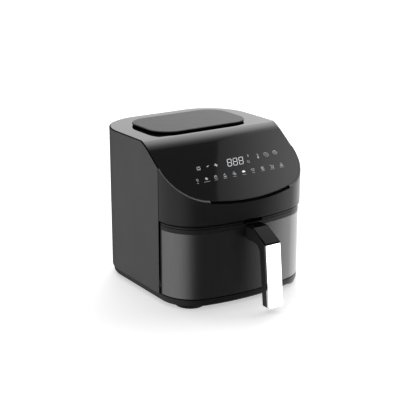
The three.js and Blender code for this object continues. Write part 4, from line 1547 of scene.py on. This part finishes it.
CHOSEN = 5  # the preset that is lit brightest
PRESETS: tuple[Preset, ...] = (
    Preset(-88.5, 4, (Stroke(Pen.RING, 0, 1, (2.0, 0.7)), Stroke(Pen.BAR, 0, -2, (2.6, 0.8)))),
    Preset(-69, 13, (
        *(Stroke(Pen.BAR, 0, 0, (5.2, 0.9, turn * QUARTER * 2 / 3)) for turn in range(3)),
        Stroke(Pen.RING, 0, 0, (2.6, 0.8)),
    )),
    Preset(-49, 7, (
        Stroke(Pen.BOX, 0, -0.6, (4.6, 3.6, 0.7)),
        *(Stroke(Pen.BAR, shift, 2, (2.8, 0.8, QUARTER)) for shift in (-1.4, 0, 1.4)),
    )),
    Preset(-29, 7.5, (
        Stroke(Pen.RING, 0, -0.4, (2.6, 0.7)),
        Stroke(Pen.BAR, 0, 2.6, (3.4, 0.8, 0.5)),
        Stroke(Pen.BAR, 0, -2.8, (6.4, 0.8)),
    )),
    Preset(-8, 8, (
        Stroke(Pen.RING, -1, -0.6, (2.4, 0.7)),
        Stroke(Pen.RING, 1.7, -1.0, (1.9, 0.6)),
        Stroke(Pen.BAR, 0, 2.6, (3.6, 0.8, -0.6)),
    )),
    Preset(13, 8, (Stroke(Pen.BAR, 0, 0, (6.5, 3.2)), Stroke(Pen.BAR, 0, 1.8, (4.5, 1.0)))),
    Preset(34, 6, (
        Stroke(Pen.RING, 0, 0, (2.9, 0.8)),
        Stroke(Pen.BAR, -3.2, 1.2, (2.6, 0.8, -0.7)),
        Stroke(Pen.BAR, 2.4, 2.0, (2.4, 0.8, 0.3)),
    )),
    Preset(56, 7.5, (
        Stroke(Pen.BOX, 0, 0, (5.2, 4.2, 0.7)),
        Stroke(Pen.DOT, -0.9, 0.3, (1.2,)),
        Stroke(Pen.BAR, 1, -2.9, (6, 0.8)),
    )),
    Preset(78, 9, (
        Stroke(Pen.BOX, 0.6, -0.2, (5.0, 3.0, 0.7)),
        Stroke(Pen.BAR, -3.2, 2.4, (2.6, 0.8)),
        Stroke(Pen.DOT, -1.2, -3, (0.8,)),
        Stroke(Pen.DOT, 2.4, -3, (0.8,)),
    )),
    Preset(100, 10.5, (
        Stroke(Pen.RING, 0, 1.4, (2.0, 0.7)),
        Stroke(Pen.BAR, 0, -1.4, (6.4, 1.4)),
        Stroke(Pen.BAR, 0, -3.0, (7.6, 0.7)),
    )),
)


@dataclass
class Glyph:
    """Lays thin lit strokes on the sloped panel, in millimetres across and up it."""

    casing: Casing
    lift: float = 0.06 * MM
    thickness: float = 0.12 * MM
    weight: float = 1.0
    lean: float = 0.0
    row: float = 0.0
    solid: Solid = field(default_factory=lambda: Solid(bmesh.new()))

    @property
    def top(self) -> float:
        """How far a stroke stands off the panel."""
        return self.lift + self.thickness

    def _lay(self, stroke: Solid, x: float, y: float, turn: float = 0.0) -> None:
        """Puts one stroke on the slope.

        Args:
            stroke: The stroke, lying flat round the origin.
            x: Its place across, in millimetres from the middle.
            y: Its depth in millimetres from the casing's front.
            turn: Its turn on the panel in radians.
        """
        depth = self.casing.front + y * MM
        height = self.casing.slope_height(depth)
        across = x + self.lean * (y - self.row)
        slope = Matrix.Rotation(self.casing.slope, 4, "X")
        spot = Matrix.Translation((across * MM, depth, height)) @ slope
        self.solid.beside(stroke.moved(spot @ Matrix.Rotation(turn, 4, "Z")))

    def bar(self, x: float, y: float, length: float, width: float, turn: float = 0.0) -> None:
        """A straight stroke.

        Args:
            x: Its middle across.
            y: Its middle in depth.
            length: Its length.
            width: Its width, before the weight.
            turn: Its turn in radians.
        """
        reach, half = length * MM / 2, width * self.weight * MM / 2
        stroke = Solid.block((-reach, -half, self.lift), (reach, half, self.top))
        self._lay(stroke, x, y, turn)

    def dot(self, x: float, y: float, radius: float) -> None:
        """A round dot.

        Args:
            x: Its middle across.
            y: Its middle in depth.
            radius: Its radius.
        """
        out = radius * MM
        profile = [(0, self.lift), (out, self.lift), (out, self.top), (0, self.top)]
        self._lay(Solid.turned(profile, Vector((0, 0, 0)), steps=16), x, y)

    def ring(self, x: float, y: float, radius: float, width: float = 0.5) -> None:
        """A round outline.

        Args:
            x: Its middle across.
            y: Its middle in depth.
            radius: Its outer radius.
            width: The line's width, before the weight.
        """
        inner, outer = (radius - width * self.weight) * MM, radius * MM
        profile = [(inner, self.lift), (outer, self.lift), (outer, self.top), (inner, self.top)]
        profile.append(profile[0])
        self._lay(Solid.turned(profile, Vector((0, 0, 0)), steps=24), x, y)

    def box(self, x: float, y: float, width: float, height: float, line: float = 0.5) -> None:
        """A rectangular outline of four strokes.

        Args:
            x: Its middle across.
            y: Its middle in depth.
            width: Its width between the lines' middles.
            height: Its height between the lines' middles.
            line: The lines' width, before the weight.
        """
        for side in (-1, 1):
            self.bar(x, y + side * height / 2, width + line, line)
            self.bar(x + side * width / 2, y, line, height)

    def draw(self, strokes: Iterable[Stroke], x: float, y: float) -> None:
        """Lays a symbol's strokes round a place."""
        for stroke in strokes:
            getattr(self, stroke.pen.value)(x + stroke.x, y + stroke.y, *stroke.sizes)


@dataclass
class TouchPanel:
    """The lit display and touch symbols under the gloss slope, sizes in millimetres."""

    shop: Workshop
    casing: Casing
    digit_middle: tuple[float, float] = (9, 71.6)
    digit_width: float = 8.6
    digit_height: float = 12.555
    digit_pitch: float = 13.0
    digit_line: float = 0.74
    upright_share: float = 0.53
    slant: float = 0.5
    row_lean: float = 0.4
    function_row: float = 72
    function_weight: float = 0.78
    preset_row: float = 50.5
    preset_rise: float = 0.12
    preset_weight: float = 0.8
    caption_drop: float = 5.2
    caption_width: float = 0.75

    def build(self) -> None:
        """Lights the digits, the function symbols and the presets."""
        self.digits()
        self.functions()
        self.presets()

    def _finish(self, glyph: Glyph, name: str, finish: Finish) -> None:
        """Dresses one set of strokes."""
        self.shop.finish(glyph.solid, Dressing(name, Body.HOUSING, finish, "display_glass"))

    def digits(self) -> None:
        """Three eights in seven strokes each, leaning a little."""
        glyph = Glyph(self.casing)
        width, height, line = self.digit_width, self.digit_height, self.digit_line
        middle, centre_y = self.digit_middle
        upright, turn = height * self.upright_share, QUARTER - 0.8 * self.slant
        for place in (-1, 0, 1):
            centre_x = middle + place * self.digit_pitch
            for level in (-1, 0, 1):
                x = centre_x + self.slant * level * height / 2
                glyph.bar(x, centre_y + level * height / 2, width - line * 1.5, line)
            for side in (-1, 1):
                for level in (-1, 1):
                    x = centre_x + side * width / 2 + self.slant * level * height / 4
                    glyph.bar(x, centre_y + level * height / 4, upright, line, turn)
        self._finish(glyph, "display_digits", Finish.LIT)

    def functions(self) -> None:
        """The upper row: lamp, shake, fan, heat, thermometer, clock and power."""
        glyph = Glyph(
            self.casing, weight=self.function_weight, lean=self.row_lean, row=self.function_row
        )
        for symbol in FUNCTIONS:
            glyph.draw(symbol.strokes, symbol.x, symbol.y)
        self._finish(glyph, "function_symbols", Finish.LIT_SOFT)

    def presets(self) -> None:
        """The lower row: ten plain food shapes, each over a short caption line."""
        plain, captions, chosen = (
            Glyph(self.casing, weight=self.preset_weight, lean=self.row_lean, row=self.preset_row)
            for _ in range(3)
        )
        for number, preset in enumerate(PRESETS):
            y = self.preset_row + number * self.preset_rise
            glyph = chosen if number == CHOSEN else plain
            glyph.draw(preset.strokes, preset.x, y)
            captions.bar(preset.x, y - self.caption_drop, preset.caption, self.caption_width)
        self._finish(plain, "preset_symbols", Finish.LIT_SOFT)
        self._finish(captions, "preset_captions", Finish.LIT_FAINT)
        self._finish(chosen, "chosen_preset", Finish.LIT)


@dataclass
class Drawer:
    """The drawer front: black frame, brushed steel skin, and the basket behind it."""

    shop: Workshop
    casing: Casing
    inset: float = 2.9 * MM
    skin: float = 0.8 * MM
    wall: float = 3 * MM
    strip: float = 5 * MM
    clear: float = 0.3 * MM
    deck_drop: float = 6 * MM
    deck: float = 3 * MM
    deck_gap: float = 0.6 * MM
    # The basket, read from the plate that lies in it.
    plate_gap: float = 4 * MM
    basket_corner: float = 55 * MM
    basket_steps: int = 14
    basket_wall: float = 1.5 * MM
    floor_rise: float = 4 * MM
    floor_round: float = 9 * MM
    inner_round: float = 7 * MM
    flange: float = 9 * MM
    flange_lap: float = 0.7 * MM
    lug_half: float = 5 * MM
    lug_end: float = 146.1 * MM
    lug_heights: tuple[float, float] = (58 * MM, 66 * MM)
    # The plate's slots.
    plate_corner: float = 51 * MM
    slot_rows: int = 7
    slot_columns: int = 5
    slot_pitch: tuple[float, float] = (42 * MM, 28 * MM)
    slot_half: tuple[float, float] = (13 * MM, 3.5 * MM)
    slot_round: float = 3.4 * MM

    def build(self) -> None:
        """Makes the frame, the skin, the basket and the crisper plate."""
        self.front_frame()
        self.steel_skin()
        self.basket()
        self.crisper()

    def _basket_plan(self) -> tuple[Vector, Vector]:
        """Reads the basket's plan from the plate that lies in it.

        Returns:
            The lowest and highest corners of its outer walls, both at height zero.
        """
        low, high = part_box("crisper_plate")
        gap = self.plate_gap
        return Vector((low.x - gap, low.y - gap, 0)), Vector((high.x + gap, high.y + gap, 0))

    def _basket_block(self, grow: float, low: float, high: float) -> Solid:
        """The basket's plan run up between two heights.

        Args:
            grow: How far outside the basket's walls it reaches.
            low: The lower height.
            high: The upper height.

        Returns:
            The solid.
        """
        corner_low, corner_high = self._basket_plan()
        box_low = (corner_low.x - grow, corner_low.y - grow, low)
        box_high = (corner_high.x + grow, corner_high.y + grow, high)
        return Solid.rounded_block(box_low, box_high, self.basket_corner + grow, self.basket_steps)

    def front_frame(self) -> None:
        """The black moulding that holds the skin, with decks above and below."""
        casing = self.casing
        low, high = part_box("drawer_frame")
        skin_low, skin_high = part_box("drawer_skin")
        clear = self.clear
        recess = self.inset + self.skin + clear
        ring = casing.hoop(self.inset, recess + self.wall, low.z, high.z)
        pocket = casing.hoop(-MM, recess, skin_low.z - clear, skin_high.z + clear)
        pocket.common(casing.ahead(high.y - self.strip + clear))
        deck_top = high.z - self.deck_drop + self.deck
        upper = casing.prism(recess + MM, deck_top - self.deck, deck_top)
        upper.cut(self._basket_block(self.deck_gap, 0, high.z))
        lower = casing.prism(recess + MM, low.z, low.z + self.deck)
        ring.cut(pocket).join(upper, lower).common(casing.ahead(high.y))
        ring.eased(0.45 * MM)
        dressing = Dressing(
            "drawer_moulding", Body.DRAWER, Finish.MATTE, "matte_black", ("drawer_frame",)
        )
        self.shop.finish(ring, dressing)

    def steel_skin(self) -> None:
        """The curved steel front."""
        low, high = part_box("drawer_skin")
        sheet = self.casing.hoop(self.inset, self.inset + self.skin, low.z, high.z)
        sheet.common(self.casing.ahead(high.y))
        sheet.eased(0.2 * MM)
        dressing = Dressing(
            "steel_front", Body.DRAWER, Finish.STEEL, "dark_steel", ("drawer_skin",)
        )
        self.shop.finish(sheet, dressing)

    def basket(self) -> None:
        """The deep basket: rounded floor edge, rolled rim and the rear lug."""
        low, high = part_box("basket")
        wall = self.basket_wall
        tub = self._basket_block(0, low.z, high.z)
        tub.rounded(lambda edge: _level(edge, low.z), self.floor_round, 6)
        inner = low.z + wall + self.floor_rise
        tub.hollowed(wall, inner)
        tub.rounded(lambda edge: _level(edge, inner), self.inner_round, 5)
        flange = self._basket_block(self.flange, high.z - wall, high.z)
        flange.cut(self._basket_block(-self.flange_lap, high.z - 5 * MM, high.z + MM))
        tub.join(flange)
        root = self._basket_plan()[1].y - self.flange_lap
        lug_low, lug_high = self.lug_heights
        lug = Solid.block((-self.lug_half, root, lug_low), (self.lug_half, self.lug_end, lug_high))
        tub.join(lug.rounded(lambda edge: _along(edge, Axis.Y), 1.5 * MM, 3))
        tub.eased(0.4 * MM, 2, 55)
        dressing = Dressing(
            "coated_basket", Body.DRAWER, Finish.COATED, "coated_metal", ("basket",)
        )
        self.shop.finish(tub, dressing)

    def crisper(self) -> None:
        """The slotted plate that holds the food off the floor."""
        low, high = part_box("crisper_plate")
        plate = Solid.rounded_block(low, high, self.plate_corner, self.basket_steps)
        centre = (low + high) / 2
        middle_row, middle_column = self.slot_rows // 2, self.slot_columns // 2
        across, along = self.slot_half
        slots = Solid(bmesh.new())
        for row in range(-middle_row, middle_row + 1):
            for column in range(-middle_column, middle_column + 1):
                if abs(row) == middle_row and abs(column) == middle_column:
                    continue
                x, y = column * self.slot_pitch[0], centre.y + row * self.slot_pitch[1]
                corner_low = (x - across, y - along, low.z - MM)
                corner_high = (x + across, y + along, high.z + MM)
                slots.beside(Solid.rounded_block(corner_low, corner_high, self.slot_round, 5))
        plate.cut(slots).eased(0.35 * MM)
        dressing = Dressing(
            "slotted_plate", Body.CRISPER, Finish.COATED, "coated_metal", ("crisper_plate",)
        )
        self.shop.finish(plate, dressing)


@dataclass
class Handle:
    """The upright bar handle: black grip, gloss cap and chrome front."""

    shop: Workshop
    casing: Casing
    half: float = 16 * MM
    grip_round: float = 1.1 * MM
    trim_round: float = 0.5 * MM

    def build(self) -> None:
        """Makes the grip, the cap and the chrome from their side views in millimetres."""
        grip = [(2.6, 145.7), (2.6, 124), (-2.4, 122.3), (-12, 122), (-20, 122.2), (-27, 121.2)]
        grip += [(-32, 118.6), (-35.6, 115.2), (-38.2, 111), (-39.6, 105)]
        grip += [(-50, 10.5), (-63.2, 10.5), (-51.2, 125.7), (-20, 145.7)]
        cap = [(2.6, 148.5), (-20, 148.5), (-56.5, 128.5), (-56.5, 126), (-20, 146), (2.6, 146)]
        trim = [(-56.5, 125.7), (-69, 10.5), (-63.5, 10.5), (-51.5, 125.7)]
        parts = (
            (grip, self.grip_round, "handle_grip", Finish.MATTE, "matte_black", "handle_body"),
            (cap, self.trim_round, "handle_gloss_cap", Finish.CAP, "matte_black", "handle_cap"),
            (trim, self.trim_round, "handle_chrome", Finish.CHROME, "chrome", "handle_trim"),
        )
        for side_view, edge, name, finish, slot, node in parts:
            self._part(side_view, edge, Dressing(name, Body.DRAWER, finish, slot, (node,)))

    def _part(
        self, side_view: Sequence[tuple[float, float]], edge: float, dressing: Dressing
    ) -> None:
        """One part of the handle.

        Args:
            side_view: Its outline as (depth from the casing's front, height) in millimetres.
            edge: The rounding of its edges.
            dressing: What it stands for and looks like.
        """
        front = self.casing.front
        outline = [(front + depth * MM, height * MM) for depth, height in side_view]
        solid = Solid.run(outline, -self.half, self.half)
        self.shop.finish(solid.eased(edge, 3, 28), dressing)


@dataclass
class Inside:
    """The CAD nodes that keep their own shape: each gets its finish."""

    special: dict[str, Finish] = field(
        default_factory=lambda: {
            "heating_element": Finish.ELEMENT,
            "motor_body": Finish.MOTOR,
            "motor_shaft": Finish.TURNED,
            "fan_nut": Finish.TURNED,
            "chamber_liner": Finish.TURNED,
            "heat_shield": Finish.TURNED,
        }
    )

    def build(self) -> None:
        """Dresses every node from the record's slots."""
        for entry in frame["record"]["subparts"]:
            name = entry["node"]
            node = frame["nodes"][name]
            finish = self.special.get(name, SLOT_FINISHES[entry["material_slot"]])
            node.data.materials.clear()
            node.data.materials.append(finish.material)
            LOG.info("%s: %s", name, finish.value.name)


# ---------------------------------------------------------------- studio


@dataclass(frozen=True)
class Glow:
    """A soft patch of light in one direction of the surrounding room."""

    toward: tuple[float, float, float]
    inner: float
    outer: float
    strength: float

    @classmethod
    def at(cls, bearing: float, rise: float, inner: float, outer: float, strength: float) -> Glow:
        """A patch given by angles, all in degrees.

        Args:
            bearing: Its bearing from straight behind the appliance.
            rise: Its height over the horizon.
            inner: How far from its middle it stays fully bright.
            outer: How far from its middle it ends.
            strength: Its brightness.

        Returns:
            The patch.
        """
        round_to, up = math.radians(bearing), math.radians(rise)
        flat = math.cos(up)
        toward = (math.sin(round_to) * flat, math.cos(round_to) * flat, math.sin(up))
        return cls(toward, inner, outer, strength)


@dataclass(frozen=True)
class Softbox:
    """A rectangular lamp: where it stands, what it faces, its size and its watts."""

    name: str
    place: tuple[float, float, float]
    aim: tuple[float, float, float]
    size: tuple[float, float]
    power: float

    def build(self) -> bpy.types.Object:
        """Makes the lamp.

        Returns:
            The lamp in the scene.
        """
        light = bpy.data.lights.new(self.name, "AREA")
        light.shape, light.size, light.size_y = "RECTANGLE", *self.size
        light.energy = self.power
        lamp = bpy.data.objects.new(self.name, light)
        lamp.location = self.place
        way = Vector(self.aim) - Vector(self.place)
        lamp.rotation_euler = way.to_track_quat("-Z", "Y").to_euler()
        bpy.context.scene.collection.objects.link(lamp)
        return lamp


@dataclass
class Studio:
    """Pale floor, soft room light, lamps and the camera."""

    spot: tuple[float, float, float] = (-1.0640, -1.5319, 0.7352)
    turn: tuple[float, float, float] = (72.87, 0.0, -33.99)
    lens: float = 92.82
    dim: tuple[float, float] = (0.05, 0.15)
    glows: tuple[Glow, ...] = (
        Glow.at(52, 40, 2, 25, 3.6),
        Glow.at(33, 10, 8, 25, 1.2),
        Glow.at(66, 52, 1, 14.5, 0.9),
        Glow.at(95, 40, 4, 17.2, 2.4),
        Glow.at(95, 40, 16.5, 16.7, 0.24),
        Glow.at(80, -15, 20, 54, 2.1),
        Glow.at(-75, -14, 10, 78, 0.68),
    )
    overhead: Softbox = Softbox("overhead", (0.2, 0.9, 2.2), (0, 0, 0), (2.4, 2.0), 38)
    card: Softbox = Softbox(
        "chrome_card", (0.35, -0.67, -0.05), (0, -0.19, 0.07), (0.5, 0.36), 2.0
    )
    floor_half: float = 30.0
    sensor: float = 36
    nearest: float = 0.01

    def build(self) -> None:
        """Sets the whole studio up."""
        self.floor()
        self.room()
        self.lamps()
        self.camera()

    def floor(self) -> None:
        """A wide pale floor with a soft contact shadow."""
        bm = bmesh.new()
        bmesh.ops.create_grid(bm, x_segments=4, y_segments=4, size=self.floor_half)
        floor = Solid(bm).as_object("studio_floor")
        floor.data.materials.append(PaleFloor("pale_floor").build())
        floor.visible_glossy = False

    def room(self) -> None:
        """White to the eye, with a dim room and soft patches in the reflections."""
        world = bpy.data.worlds.new("studio_room")
        bpy.context.scene.world = world
        world.use_nodes = True
        bench = Bench(world.node_tree)
        way = bench.make("ShaderNodeTexCoord", output="Generated")
        height = bench.make("ShaderNodeSeparateXYZ", {}, {0: way}, output="Z")
        total = height.between(-0.3, 0.15, *self.dim)
        for glow in self.glows:
            aim = Vector(glow.toward).normalized()
            inputs, dot = {0: way, 1: aim}, {"operation": "DOT_PRODUCT"}
            facing = bench.make("ShaderNodeVectorMath", dot, inputs, output="Value")
            edge, core = math.cos(math.radians(glow.outer)), math.cos(math.radians(glow.inner))
            total = facing.between(edge, core, 0.0, glow.strength) + total
        seen = bench.make("ShaderNodeLightPath", output="Is Camera Ray")
        plain = self.background(bench, 1.0)
        soft = self.background(bench, total)
        inputs = {0: seen, 1: soft, 2: plain}
        bench.end("ShaderNodeOutputWorld", bench.make("ShaderNodeMixShader", {}, inputs))

    @staticmethod
    def background(bench: Bench, strength: Value | float) -> Value:
        """A white surrounding of a given strength."""
        inputs = {"Color": (1, 1, 1, 1), "Strength": strength}
        return bench.make("ShaderNodeBackground", {}, inputs)

    def lamps(self) -> None:
        """A wide overhead softbox that keeps the floor bright, and a card for the chrome."""
        self.overhead.build().visible_glossy = False
        card = self.card.build()
        card.visible_camera = False
        lit = bpy.data.collections.new("lit_by_card")
        lit.objects.link(bpy.data.objects["handle_chrome"])
        card.light_linking.receiver_collection = lit

    def camera(self) -> None:
        """The camera's place and lens."""
        data = bpy.data.cameras.new("studio_camera")
        data.lens, data.sensor_width, data.clip_start = self.lens, self.sensor, self.nearest
        camera = bpy.data.objects.new("studio_camera", data)
        camera.location = self.spot
        camera.rotation_euler = [math.radians(angle) for angle in self.turn]
        bpy.context.scene.collection.objects.link(camera)
        bpy.context.scene.camera = camera
        bpy.context.scene.view_settings.view_transform = "Standard"


def main() -> None:
    """Builds the appliance and the studio in order."""
    logging.basicConfig(level=logging.INFO, format="%(name)s: %(message)s")
    shop, casing = Workshop(), Casing.read()
    Inside().build()
    BaseAndFeet(shop, casing).build()
    Shell(shop, casing).build()
    TouchPanel(shop, casing).build()
    Drawer(shop, casing).build()
    Handle(shop, casing).build()
    Studio().build()


if __name__ == "__main__":
    main()
